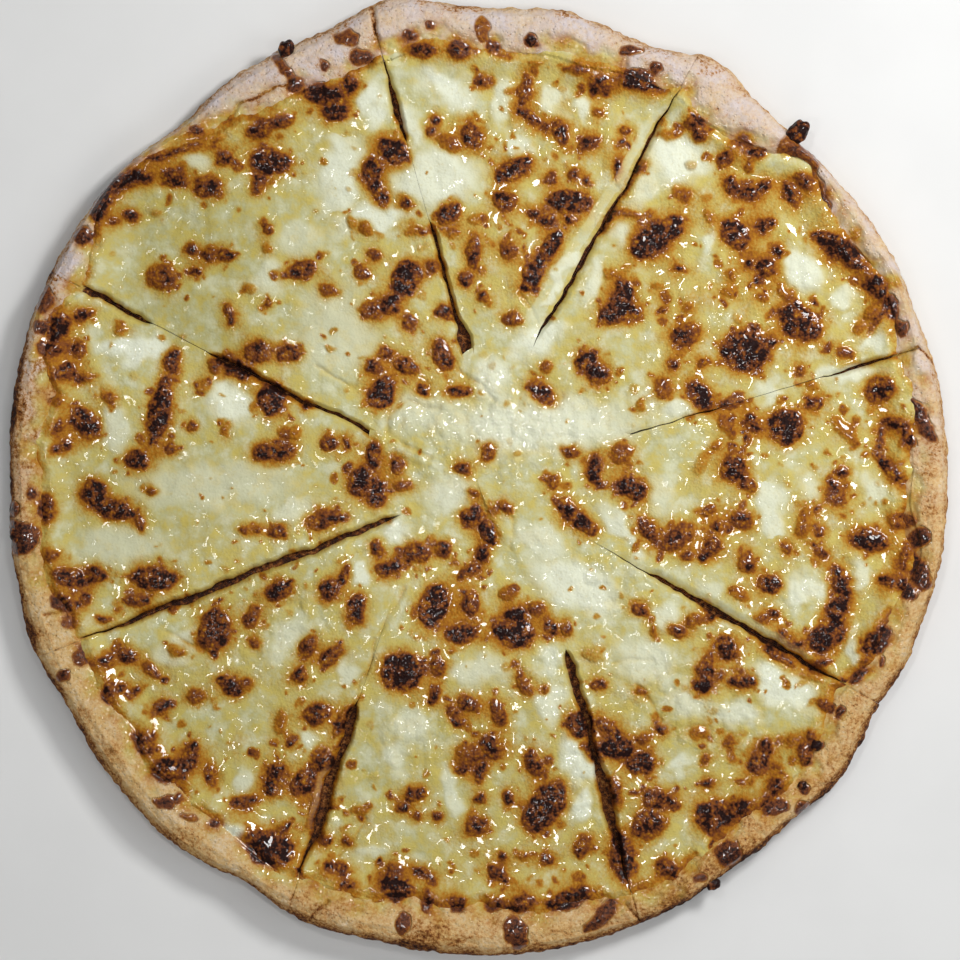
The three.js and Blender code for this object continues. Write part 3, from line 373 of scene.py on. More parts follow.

# Painted shade, where the cheese is also less glossy: x, y, length, width, turn, strength.
DULL_SHADE_AREAS = (
    (-92, 82, 60, 44, -30, .9), (-92, 52, 50, 22, -30, 1), (-58, 58, 50, 40, 0, .4),
    (-92, 5, 80, 30, 0, .4), (-70, -36, 50, 20, 20, .5), (-36, -86, 24, 36, 0, .5),
    (-45, 5, 30, 30, 0, .3), (-60, -60, 60, 50, 0, .45), (-95, -80, 60, 60, 0, .45),
    (-10, -100, 80, 70, 0, .35), (-110, -10, 60, 60, 0, .5), (40, -110, 50, 50, 0, .25),
    (-60, 90, 90, 60, 20, .35), (70, -80, 70, 50, -20, .35),
)

# Wet cheese with lumps and streaks: x, y, length, width, turn, strength.
WET_AREAS = (
    (6, 18, 76, 34, 0, 1), (70, -74, 50, 26, -20, 1), (22, -62, 24, 26, 0, .7),
    (32, -98, 18, 34, 10, .8), (44, -34, 36, 18, -30, .8), (-58, -46, 40, 18, 30, .8),
    (-44, -16, 44, 18, 20, .8), (-16, -86, 40, 26, 0, .7), (100, -60, 26, 20, 0, .7),
    (92, 62, 70, 44, 0, .6), (112, -30, 40, 36, 0, .6), (-96, 88, 30, 20, 0, .6),
    (70, 20, 40, 14, 10, .6), (20, 112, 60, 24, 0, .5), (-90, -90, 40, 26, -30, .3),
)

# ---------------------------------------------------------------------------
# Noise and browning, as named numbers
# ---------------------------------------------------------------------------

SEEDS = {"warp": 11, "tone": 23, "spots": 37, "relief": 53, "edge": 71, "dough": 97, "drops": 113}

# Layers of noise: the seed, then each layer's height, lump size and step from the seed.
LAYERS = {
    "tongues of cheese": ("edge", ((2.2, 14, 0), (1.1, 5, 1), (0.6, 2, 6))),
    "cut's stray": ("edge", ((0.9, 13, 8), (0.4, 4, 9))),
    "cut's rags": ("edge", ((0.6, 7.5, 2), (0.25, 2.4, 3))),
    "thin edge": ("edge", ((1.8, 7, 7),)),
    "melt's edge": ("edge", ((0.8, 4, 5),)),
    "toasted edge": ("tone", ((1.6, 7, 4),)),
    "rim's wall": ("dough", ((0.5, 5, 12), (0.4, 2, 13))),
    "rim's wrinkles": ("dough", ((0.35, 11, 0), (0.18, 3.5, 1), (0.08, 1.4, 2))),
    "rim's tone": ("dough", ((0.12, 13, 3), (0.14, 4, 4))),
    "wall's tone": ("dough", ((0.10, 9, 15),)),
    "shaded hidden dough": ("dough", ((0.15, 5, 9),)),
    "flour": ("dough", ((0.5, 8, 6),)),
    "film of cheese": ("dough", ((0.9, 6, 5),)),
    "film's toast": ("dough", ((0.22, 5, 14),)),
}

# Layers that are higher in some places: the seed, then each layer's height, what it gains there,
# its lump size and its step from the seed.
VARIED_LAYERS = {
    "toasting": ("tone", ((0.08, 0.08, 14, 0), (0.05, 0.05, 5, 1))),
    "wet lumps": ("relief", ((0.42, 0.20, 8, 1), (0.20, 0.22, 3.8, 2))),
}

# Noise that bends what is drawn: the seed, then each layer's reach, lump size and the steps from
# the seed for x and for y.
BENDS = {
    "blisters": ("warp", ((1, 4.5, 0, 1), (0.4, 2.1, 2, 3))),
    "patches": ("tone", ((3.2, 9, 5, 7), (1.4, 3.4, 6, 8))),
    "cracks": ("dough", ((0.5, 3, 7, 8), (1.2, 7, 16, 17))),
}

# How brown a spot is by the depth inside it: depths, then shares of its darkness.
HALO = (
    (-7, -4.5, -3, -2, -1.1, -0.5, -0.1, 0.35, 0.9, 2, 4),
    (0, 0.04, 0.13, 0.23, 0.34, 0.42, 0.56, 0.75, 0.84, 0.92, 1),
)
RIM_HALO = ((-3, -1.6, -0.7, -0.2, 0.25, 0.8, 2), (0, 0.10, 0.26, 0.50, 0.78, 0.88, 0.95))
DOT_HALO = ((-2.2, -1.1, -0.5, 0, 0.4), (0, 0.10, 0.26, 0.68, 1))
DOT_COUNT = 4200  # tried, and those on pale cheese mostly dropped
DOT_FIELD = 141

# Edges: ripples have a height, waves round the pizza and a start.
EDGE_RIPPLES = ((0.5, 23, 0), (0.3, 41, 60))
EDGE_PER_DEGREE, OUTLINE_PER_DEGREE = 2.45, 2.67
BARE_RIM = 2.2  # the narrowest rim that shows
EDGE_BLISTERS_FROM = 124  # blisters further out also mark the rim
BOX_MARGIN = 0.02  # every point stays this far inside the solids' box

# Cuts. A cut counts as open, and a side's wall as bare, from the first width, and fully from the
# second.
GAP, RIGHT_SLOPE, LEFT_SLOPE = 1, 2, 3  # columns of a cut's table
OPEN_GAP, BARE_SLOPE = (0.05, 0.8), (2.2, 3.2)
CLOSED_GAP, TOUCH = 0.12, 0.004  # narrower cuts stay straight, with this room between the slices
TIP_WIDTH = 1.2

# Cheese slices: rows on the side wall, width of the mesh, and the edge, which thins out over
# THIN_EDGE and ends this far below the dough.
WALL_STEPS, SLICE_WIDTH = 3, 110
THIN_EDGE, EDGE_SUNK, UNDERSIDE_SUNK = 4.2, 0.4, 0.8

# Crust slices: rows of the flat dough, the slope and the rim, columns, and the shares of the rim's
# rows at the section's points and on its way in to the foot.
CRUST_ROWS, CRUST_COLUMNS = (6, 20, 78), 280
RIM_PACE, FOOT_PACE = (0, 0.25, 0.42, 0.6, 0.74, 0.88), (0.88, 0.95, 1)
FOOT_HEIGHT, OUTLINE_INSET = 2.2, 0.05
CREST_OVER_EDGE, SLOPE_EASE = 1.5, 1.15
CREST_SPAN = (5, 11)  # the rim counts as its crest from the first height, fully from the second

# Melted centre: rings on top and below, points round it, the width over which it rises, its lip's
# width, how deep its edge is sunk, and how deep its underside is.
MELT_RINGS, MELT_UNDER_RINGS, MELT_STEPS = 76, 6, 440
MELT_RISE, MELT_LIP, MELT_SUNK, MELT_DEPTH = 18, 2.5, 0.06, 1.2

FLOOR_SIZE, FLOOR_DROP = 3000, 0.1
SENSOR = 36

# Lamps: name, place and size in metres, power in watts, and whether the oil mirrors it.
LAMPS = (
    ("key", (0.40, 0.34, 0.54), 0.15, 3.5, True),
    ("window", (-0.18, 0.36, 1.15), 0.10, 1.4, True),
    ("glint_right", (0.34, -0.06, 1.15), 0.09, 1.0, True),
    ("glint_near", (0.05, -0.20, 1.2), 0.08, 0.8, True),
    ("glint_left", (-0.36, -0.12, 1.1), 0.08, 0.8, True),
    ("fill_left", (-0.9, -0.15, 0.8), 0.5, 0.7, False),
    ("fill_right", (0.85, -0.2, 0.8), 0.5, 2.0, False),
    ("fill_near", (0.1, -0.9, 0.75), 0.5, 1.6, False),
    ("fill_far", (0.1, 0.95, 0.85), 0.5, 1.8, False),
)
AMBIENT = {"Color": (0.93, 0.96, 1, 1), "Strength": 0.06}


# ---------------------------------------------------------------------------
# Sizes and colours
# ---------------------------------------------------------------------------

def length(name, description, default, low=0):
    """A length of the add-on, given in millimetres and kept in metres."""
    return bpy.props.FloatProperty(
        name=name, description=description, default=default * MM, min=low, precision=5,
        subtype="DISTANCE")


def colour(name, description, default):
    """A linear colour of the add-on."""
    return bpy.props.FloatVectorProperty(
        name=name, description=description, default=default, size=3, min=0, max=1,
        subtype="COLOR")


class PizzaSizes(bpy.types.PropertyGroup):
    """Sizes of the pizza."""

    radius: length("Radius", "Mean radius of the pizza", 152.8)
    dough_top: length("Dough top", "Height of the flat dough under the cheese", 5)
    rim_crest: length("Rim crest", "Height of the raised rim", 12.6)
    underside_inset: length("Underside inset", "How far the rim curls in to the underside", 4)
    slope_width: length("Slope width", "The dough rises over this width inside the edge", 11)
    cheese_thickness: length("Cheese", "Thickness of the cheese", 3.5)
    cheese_edge_thickness: length("Cheese edge", "Thickness of the cheese at its edge", 1)
    cheese_edge_radius: length("Cheese radius", "Mean radius of the cheese", 140)
    cheese_wave: length("Waves", "Height of the soft waves in the cheese", 0.35)
    centre_dip: length("Centre dip", "How much lower the cheese is at the slices' tips", 1.3)
    centre_dip_radius: length("Dip radius", "Where that dip ends", 62)
    clearance: length("Clearance", "Room between a layer and what it lies on", 0.5)
    dough_gap: length("Dough gap", "Half of the gap between two slices of dough", 0.03)
    bend_radius: length("Bend radius", "Inside this radius each cut runs to the centre", 25)
    spacing: length("Mesh spacing", "Distance between the points of the fine surfaces", 0.46)


class PizzaTones(bpy.types.PropertyGroup):
    """Base colours, from the palest to the darkest."""

    cheese_white: colour("White cheese", "The whitest patches", (0.75, 0.77, 0.61))
    cheese_pale: colour("Pale cheese", "Cheese that didn't brown", (0.52, 0.50, 0.26))
    cheese_butter: colour("Buttery cheese", "Yellow flecks in it", (0.57, 0.455, 0.105))
    cheese_cream: colour("Creamy cheese", "A little toasted", (0.53, 0.445, 0.16))
    cheese_gold: colour("Golden cheese", "Lightly toasted", (0.48, 0.30, 0.055))
    cheese_amber: colour("Amber cheese", "Round the blisters", (0.40, 0.158, 0.010))
    cheese_brown: colour("Brown cheese", "The blisters' edges", (0.25, 0.078, 0.010))
    cheese_dark: colour("Dark cheese", "The blisters", (0.145, 0.041, 0.014))
    cheese_burnt: colour("Burnt cheese", "Their darkest spots", (0.017, 0.006, 0.005))
    dough_pale: colour("Pale dough", "Floury dough", (0.59, 0.525, 0.535))
    dough_cream: colour("Creamy dough", "Dough that didn't brown", (0.66, 0.51, 0.31))
    dough_tan: colour("Tan dough", "Baked dough", (0.61, 0.395, 0.148))
    dough_gold: colour("Golden dough", "Well baked dough", (0.48, 0.245, 0.068))
    dough_brown: colour("Brown dough", "Toasted dough", (0.19, 0.060, 0.014))
    dough_burnt: colour("Burnt dough", "Burnt spots", (0.030, 0.011, 0.007))
    floor: colour("Floor", "The plain floor", (0.74, 0.74, 0.73))


class PizzaStage(bpy.types.PropertyGroup):
    """The camera's view."""

    camera_height: length("Camera height", "The camera's height over the measured level", 1200)
    focus_height: length("Measured level", "Where the view's width is measured", 7.5)
    view_width: length("View width", "Width of the view at that level", 310.8)
    view_x: length("View X", "The view's centre", 0.97, low=-1)
    view_y: length("View Y", "The view's centre", -0.32, low=-1)


def sizes_now():
    """The panel's sizes, in millimetres."""
    group = bpy.context.scene.pizza_sizes
    return SimpleNamespace(**{
        name: round(getattr(group, name) / MM, 4) for name in PizzaSizes.__annotations__})


# ---------------------------------------------------------------------------
# Shape functions, in millimetres
# ---------------------------------------------------------------------------

def smoothstep(low, high, value):
    """0 below low, 1 above high, and smooth between them."""
    share = np.clip((value - low) / (high - low), 0, 1)
    return share * share * (3 - 2 * share)


def flat_place(radius, angle):
    """x and y at a radius and an angle."""
    return radius * np.cos(np.radians(angle)), radius * np.sin(np.radians(angle))


def lattice(seed):
    """The random numbers behind one layer of noise."""
    random = np.random.default_rng(seed)
    turns = random.uniform(0, 2 * math.pi, 256)
    return random.permutation(256), np.cos(turns), np.sin(turns)


LATTICES = {}


def noise(x, y, scale, seed):
    """Smooth noise, about -1 to 1, in lumps about one scale across."""
    if seed not in LATTICES:
        LATTICES[seed] = lattice(seed)
    order, slope_x, slope_y = LATTICES[seed]
    u, v = np.asarray(x) / scale, np.asarray(y) / scale
    column, row = np.floor(u).astype(int), np.floor(v).astype(int)
    u, v = u - column, v - row

    def corner(i, j):
        pick = order[(order[(column + i) & 255] + row + j) & 255]
        return slope_x[pick] * (u - i) + slope_y[pick] * (v - j)

    su, sv = u * u * (3 - 2 * u), v * v * (3 - 2 * v)
    low = corner(0, 0) * (1 - su) + corner(1, 0) * su
    high = corner(0, 1) * (1 - su) + corner(1, 1) * su
    return 1.5 * (low * (1 - sv) + high * sv)


def layered(x, y, kind):
    """The layers of one kind of noise, added up."""
    seed, layers = LAYERS[kind]
    return sum(height * noise(x, y, size, SEEDS[seed] + step) for height, size, step in layers)


def varied(x, y, kind, share):
    """Layers of noise that are higher where the share is."""
    seed, layers = VARIED_LAYERS[kind]
    return sum((height + gain * share) * noise(x, y, size, SEEDS[seed] + step)
               for height, gain, size, step in layers)


def bent(x, y, kind):
    """Places moved a little, which bends what is drawn there."""
    seed, layers = BENDS[kind]
    bent_x, bent_y = x, y
    for reach, size, step_x, step_y in layers:
        bent_x = bent_x + reach * noise(x, y, size, SEEDS[seed] + step_x)
        bent_y = bent_y + reach * noise(x, y, size, SEEDS[seed] + step_y)
    return bent_x, bent_y


def bubbles(x, y, scale, seed):
    """Round bumps side by side, 1 at each top and 0 in the seams, about one scale across."""
    u, v = np.asarray(x) / scale, np.asarray(y) / scale
    column, row = np.floor(u).astype(int), np.floor(v).astype(int)
    random = np.random.default_rng(seed)
    offset_x, offset_y = random.uniform(0.1, 0.9, (2, 64, 64))
    nearest = np.full(u.shape, 9.0)
    for i in (-1, 0, 1):
        for j in (-1, 0, 1):
            near_x, near_y = column + i, row + j
            dx = near_x + offset_x[near_x & 63, near_y & 63] - u
            dy = near_y + offset_y[near_x & 63, near_y & 63] - v
            nearest = np.minimum(nearest, dx * dx + dy * dy)
    return np.clip(1 - 1.6 * nearest, 0, 1)


def bumps_at(angle, bumps):
    """The sum of soft bumps at an angle."""
    total = np.zeros_like(angle, dtype=float)
    for centre, width, height in bumps:
        away = np.mod(angle - centre + 180, 360) - 180
        total += height * np.exp(-((away / width) ** 2))
    return total


def outline_radius(angle):
    """The pizza's outline."""
    return sizes_now().radius + bumps_at(angle, OUTLINE_BUMPS)


def cheese_edge(angle):
    """The smooth line that the cheese's edge follows."""
    ripple = sum(height * np.sin(np.radians(waves * angle + start))
                 for height, waves, start in EDGE_RIPPLES)
    return sizes_now().cheese_edge_radius + bumps_at(angle, CHEESE_EDGE_BUMPS) + ripple


def ragged_edge(angle):
    """The cheese's edge with its small tongues and bays."""
    along = angle * EDGE_PER_DEGREE
    tongues = layered(along, along * 0.1, "tongues of cheese")
    reach = cheese_edge(angle) + bumps_at(angle, CHEESE_RUNS) + tongues
    return np.minimum(reach, outline_radius(angle) - BARE_RIM)


def melt_reach(angle):
    """How far the melted centre reaches."""
    turned = np.mod(angle, 360)
    angles, reaches = np.array(MELT_REACH, dtype=float).T
    place = np.clip(np.searchsorted(angles, turned, side="right") - 1, 0, len(angles) - 2)
    share = smoothstep(0, 1, (turned - angles[place]) / (angles[place + 1] - angles[place]))
    return reaches[place] * (1 - share) + reaches[place + 1] * share


def cut_angle(cut, radius, offset):
    """The polar angle of a cut at a radius, moved sideways by an offset to its left."""
    shift = cut["shift"] * np.minimum(1, radius / sizes_now().bend_radius) + offset
    return cut["angle"] + np.degrees(np.arcsin(np.clip(shift / radius, -1, 1)))


def gape(cut, radius, column):
    """One column of a cut's table at a radius: its gap, or the width of a slope beside it."""
    table = np.array(cut["gape"], dtype=float).T
    return np.interp(radius, table[0], table[column])


def dough_slope(inward):
    """The dough's height under the cheese, by the distance in from the cheese's edge."""
    sizes = sizes_now()
    rise = smoothstep(0, sizes.slope_width * SLOPE_EASE, sizes.slope_width - inward)
    return sizes.dough_top + (sizes.rim_crest - CREST_OVER_EDGE - sizes.dough_top) * rise


def rim_height(radius, angle):
    """The dough's height outside the cheese's edge."""
    line = cheese_edge(angle)
    share = np.clip((radius - line) / (outline_radius(angle) - line), 0, 1)
    height = np.interp(share, *np.array(RIM_SECTION).T)
    return height + bumps_at(angle, CREST_BUMPS) * smoothstep(*CREST_SPAN, height)


def cheese_top(radius, angle):
    """The cheese's height before its blisters and fine relief."""
    sizes = sizes_now()
    inward = cheese_edge(angle) - radius
    x, y = flat_place(radius, angle)
    wave = np.sin(x / 13 + 1) * np.cos(y / 11 - 0.4) + 0.6 * np.sin((x - y) / 19)
    calm = smoothstep(40, 70, radius) * smoothstep(0, 12, inward)
    full = smoothstep(-2, sizes.slope_width, inward)
    thickness = sizes.cheese_edge_thickness * (1 - full) + sizes.cheese_thickness * full
    dip_radius = sizes.centre_dip_radius
    dip = sizes.centre_dip * (1 - smoothstep(0.45 * dip_radius, dip_radius, radius))
    top = dough_slope(inward) + sizes.clearance + thickness
    return top + sizes.cheese_wave * wave * calm - dip


# ---------------------------------------------------------------------------
# Browning
# ---------------------------------------------------------------------------

def full_spot(spot):
    """A spot with all six numbers: x, y, half length, half width, turn, darkness."""
    x, y, long = spot[:3]
    wide = spot[3] if len(spot) > 3 else long
    turn = spot[4] if len(spot) > 4 else 0
    dark = spot[5] if len(spot) > 5 else 0.9
    return x, y, long / 2, wide / 2, turn, dark


def spot_depth(x, y, spot, reach):
    """Which points are near a spot, and there the depth inside it and the share of its size."""
    centre_x, centre_y, long, wide, turn = spot[:5]
    beside = np.abs(x - centre_x) < long + reach
    near = np.flatnonzero(beside & (np.abs(y - centre_y) < long + reach))
    dx, dy = x[near] - centre_x, y[near] - centre_y
    cos, sin = math.cos(math.radians(turn)), math.sin(math.radians(turn))
    u, v = dx * cos + dy * sin, dy * cos - dx * sin
    share = np.hypot(u / long, v / wide)
    slope = np.hypot(u / long ** 2, v / wide ** 2)
    depth = np.where(share > 1e-6, (1 - share) * share / np.maximum(slope, 1e-6), wide)
    return near, np.minimum(depth, wide), share


def small_dots():
    """Seeded small toasted dots, denser where the cheese is browner."""
    random = np.random.default_rng(SEEDS["spots"])
    radius = DOT_FIELD * np.sqrt(random.uniform(0.002, 1, DOT_COUNT))
    angle = random.uniform(0, 2 * math.pi, DOT_COUNT)
    x, y = radius * np.cos(angle), radius * np.sin(angle)
    blisters = [full_spot(spot) for spot in BLISTERS]
    near = browning(x, y, blisters, HALO)[0] + base_tone(x, y)
    chance = np.clip(0.02 + 1.4 * near, 0, 0.75) * (near < 0.75)
    kept = random.uniform(0, 1, DOT_COUNT) < chance
    size = 0.5 + 1.3 * random.uniform(0, 1, DOT_COUNT) ** 2.4
    flat = random.uniform(0.6, 1, DOT_COUNT)
    turn = random.uniform(0, 180, DOT_COUNT)
    dark = 0.24 + 0.48 * random.uniform(0, 1, DOT_COUNT) ** 1.5
    return np.column_stack([x, y, size, size * flat, turn, dark])[kept]


def browning(x, y, spots, halo):
    """How far spots brown the cheese, 0 to 1, and how far it is raised, 0 to 1."""
    bent_x, bent_y = bent(x, y, "blisters")
    spared = np.ones_like(x)
    raised = np.zeros_like(x)
    for spot in spots:
        near, depth, share = spot_depth(bent_x, bent_y, spot, -halo[0][0])
        glow = min(1.1, 0.45 + 0.08 * (spot[2] + spot[3]))
        toasted = spot[5] * np.interp(np.where(depth < 0, depth / glow, depth), *halo)
        spared[near] *= 1 - toasted
        dome = np.sqrt(np.clip(1 - share, 0, 1)) * min(1, 0.3 + spot[3] / 4)
        raised[near] = np.maximum(raised[near], dome)
    return 1 - spared, raised


def patch_field(x, y, patches, softness):
    """How far points lie inside any of the patches, 0 to 1."""
    bent_x, bent_y = bent(x, y, "patches")
    field = np.zeros_like(x)
    for patch in patches:
        near, _, share = spot_depth(bent_x, bent_y, full_spot(patch), 6)
        inside = patch[5] * smoothstep(1 + softness, 1 - softness, share)
        field[near] = np.maximum(field[near], inside)
    return field


def base_tone(x, y):
    """The light toasting between the blisters."""
    golden = patch_field(x, y, GOLDEN_AREAS, 0.55)
    return np.clip(0.04 + 0.15 * golden + varied(x, y, "toasting", golden), 0, 1)


def crack_depth(x, y, cracks):
    """How deep cracks or creases are, 0 to 1."""
    depth = np.zeros_like(x)
    bent_x, bent_y = bent(x, y, "cracks")
    for start_x, start_y, end_x, end_y, width in cracks:
        run_x, run_y = end_x - start_x, end_y - start_y
        along = (bent_x - start_x) * run_x + (bent_y - start_y) * run_y
        along = np.clip(along / (run_x ** 2 + run_y ** 2), 0, 1)
        away = np.hypot(bent_x - start_x - along * run_x, bent_y - start_y - along * run_y)
        depth = np.maximum(depth, np.exp(-((away / width) ** 2)))
    return depth


def cheese_surface(x, y):
    """The cheese at points of the plane: its shades by name, and its relief."""
    toasted, raised = browning(x, y, [full_spot(spot) for spot in BLISTERS], HALO)
    dotted, dot_raised = browning(x, y, small_dots(), DOT_HALO)
    white = patch_field(x, y, WHITE_PATCHES, 0.5)
    plain = 1 - base_tone(x, y) * (1 - 0.9 * white)
    tone = 1 - (1 - toasted) * (1 - 0.9 * dotted) * plain
    wet = patch_field(x, y, WET_AREAS, 0.5) * smoothstep(0.6, 0.25, tone)
    lumps = bubbles(x, y, 1.7, SEEDS["relief"]) - 0.4
    streaks = bubbles(x, y * 0.8, 3.4, SEEDS["relief"] + 5) - 0.4
    creased = crack_depth(x, y, CREASES)
    relief = 1.1 * raised + 0.25 * dot_raised + 0.22 * lumps * smoothstep(0.45, 0.85, tone)
    relief += varied(x, y, "wet lumps", wet)
    relief += 0.35 * white + 0.38 * wet * streaks - 0.55 * creased
    # Creases are also painted darker: painted shade in them.
    tone = tone + 0.16 * creased * (1 - tone)
    shades = {
        "tone": np.clip(tone, 0, 1),
        "white": white * smoothstep(0.42, 0.15, tone),
        # Areas of painted shade, where the cheese is also less glossy.
        "dull_shade": patch_field(x, y, DULL_SHADE_AREAS, 0.6),
        "wet": wet,
    }
    return shades, relief


# ---------------------------------------------------------------------------
# Making a mesh
# ---------------------------------------------------------------------------

def deselect_all():
    """Nothing selected, so that an operator acts on the new piece alone."""
    bpy.ops.object.select_all(action="DESELECT")


def places_of(piece):
    """The places of a mesh's points."""
    places = np.empty(len(piece.data.vertices) * 3)
    piece.data.vertices.foreach_get("co", places)
    return places.reshape(-1, 3)


def plain_grid(name, rows, columns):
    """A flat grid of points, with each point's row and column."""
    deselect_all()
    bpy.ops.mesh.primitive_grid_add(x_subdivisions=rows - 1, y_subdivisions=columns - 1, size=1)
    piece = bpy.context.object
    piece.name = name
    piece.data.name = name
    places = places_of(piece)
    row = np.rint((places[:, 0] + 0.5) * (rows - 1)).astype(int)
    column = np.rint((places[:, 1] + 0.5) * (columns - 1)).astype(int)
    return piece, row, column


def set_places(piece, points):
    """Moves the piece's points, given in millimetres, and keeps them inside the part's box."""
    low, high = np.array(CAD_BOX) + np.array(((MM,), (-MM,))) * BOX_MARGIN
    places = np.clip(points * MM, low, high).astype(np.float32)
    piece.data.vertices.foreach_set("co", places.ravel())
    piece.data.update()


def set_attributes(piece, **shades):
    """Stores numbers for each point, for the material."""
    for name, values in shades.items():
        attribute = piece.data.attributes.new(name, "FLOAT", "POINT")
        attribute.data.foreach_set("value", values.astype(np.float32))


def close_underside(piece):
    """Merges the points that meet, fills the open underside and turns the faces out."""
    bpy.ops.object.mode_set(mode="EDIT")
    bpy.ops.mesh.select_all(action="SELECT")
    bpy.ops.mesh.remove_doubles(threshold=2e-6)
    bpy.ops.mesh.select_all(action="DESELECT")
    bpy.ops.mesh.select_mode(type="EDGE")
    bpy.ops.mesh.select_non_manifold(
        use_wire=False, use_multi_face=False, use_non_contiguous=False, use_verts=False)
    bpy.ops.mesh.edge_face_add()
    bpy.ops.mesh.select_all(action="SELECT")
    bpy.ops.mesh.normals_make_consistent(inside=False)
    bpy.ops.mesh.select_mode(type="VERT")
    bpy.ops.object.mode_set(mode="OBJECT")
    bpy.ops.object.shade_smooth_by_angle(angle=math.radians(68))


def finish_piece(piece, material, node):
    """Gives a piece its material and body, and hides the part's node that it stands for, if any.
    """
    piece.data.materials.append(material)
    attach(piece, "root")
    if node:
        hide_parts(node)


# ---------------------------------------------------------------------------
# Slices
# ---------------------------------------------------------------------------

def cuts_beside(number):
    """The cuts on a slice's right and left."""
    return CUTS[number], CUTS[(number + 1) % len(CUTS)]


def slice_sides(number, radius, gap_right, gap_left):
    """The polar angles of a slice's two sides, with a gap to each cut's line."""
    right, left = cuts_beside(number)
    turn = 360 if number + 1 == len(CUTS) else 0
    return cut_angle(right, radius, gap_right), cut_angle(left, radius, -gap_left) + turn


def cut_stray(cut, radius):
    """How far the gap in the cheese strays from the straight cut, to its left."""
    calm = smoothstep(10, 40, radius) * smoothstep(0, 0.6, gape(cut, radius, GAP))
    return calm * layered(radius, radius * 0 + cut["angle"] * 3.1, "cut's stray")


def cheese_gaps(number, radius):
    """How far a slice's cheese stays back from the cuts on its right and left."""
    gaps = []
    for side, cut in zip((1, -1), cuts_beside(number)):
        gap = gape(cut, radius, GAP) / 2
        rags = layered(radius, radius * 0 + 31.7 * number + side, "cut's rags")
        ragged = np.maximum(gap + rags * np.minimum(1.3 * gap, 1), CLOSED_GAP / 2)
        even = np.where(gap > CLOSED_GAP, ragged, gap + TOUCH)
        gaps.append(even + side * cut_stray(cut, radius))
    return gaps


def dough_gaps(number, radius):
    """The dough's gap to both cuts."""
    gap = sizes_now().dough_gap + 0 * radius
    return gap, gap


def tip_radius(number, gaps):
    """Where a slice is just wide enough for its tip."""
    for radius in np.arange(3, 40, 0.5):
        low, high = slice_sides(number, radius, *gaps(number, radius))
        if math.radians(high - low) * radius > TIP_WIDTH:
            return radius
    raise RuntimeError(f"slice {number + 1} has no tip")


def slice_layout(number, gaps, edge, row_share, column_share):
    """Radius and angle of each point of a slice's grid, between its tip and an edge line."""
    tip = tip_radius(number, gaps)
    radius = np.full(row_share.shape, 100.0)
    for _ in range(4):
        low, high = slice_sides(number, radius, *gaps(number, radius))
        angle = low + (high - low) * column_share
        radius = edge(angle, row_share, tip)
    low, high = slice_sides(number, radius, *gaps(number, radius))
    angle = low + (high - low) * column_share
    from_right = np.radians(angle - low) * radius
    from_left = np.radians(high - angle) * radius
    return radius, angle, from_right, from_left


def wrapped_columns(column, columns):
    """A column's share across the slice, and its share of the way down the side wall."""
    across = np.clip((column - WALL_STEPS) / (columns - 1 - 2 * WALL_STEPS), 0, 1)
    below = np.maximum(WALL_STEPS - column, column - (columns - 1 - WALL_STEPS))
    return across, np.clip(below / WALL_STEPS, 0, 1)


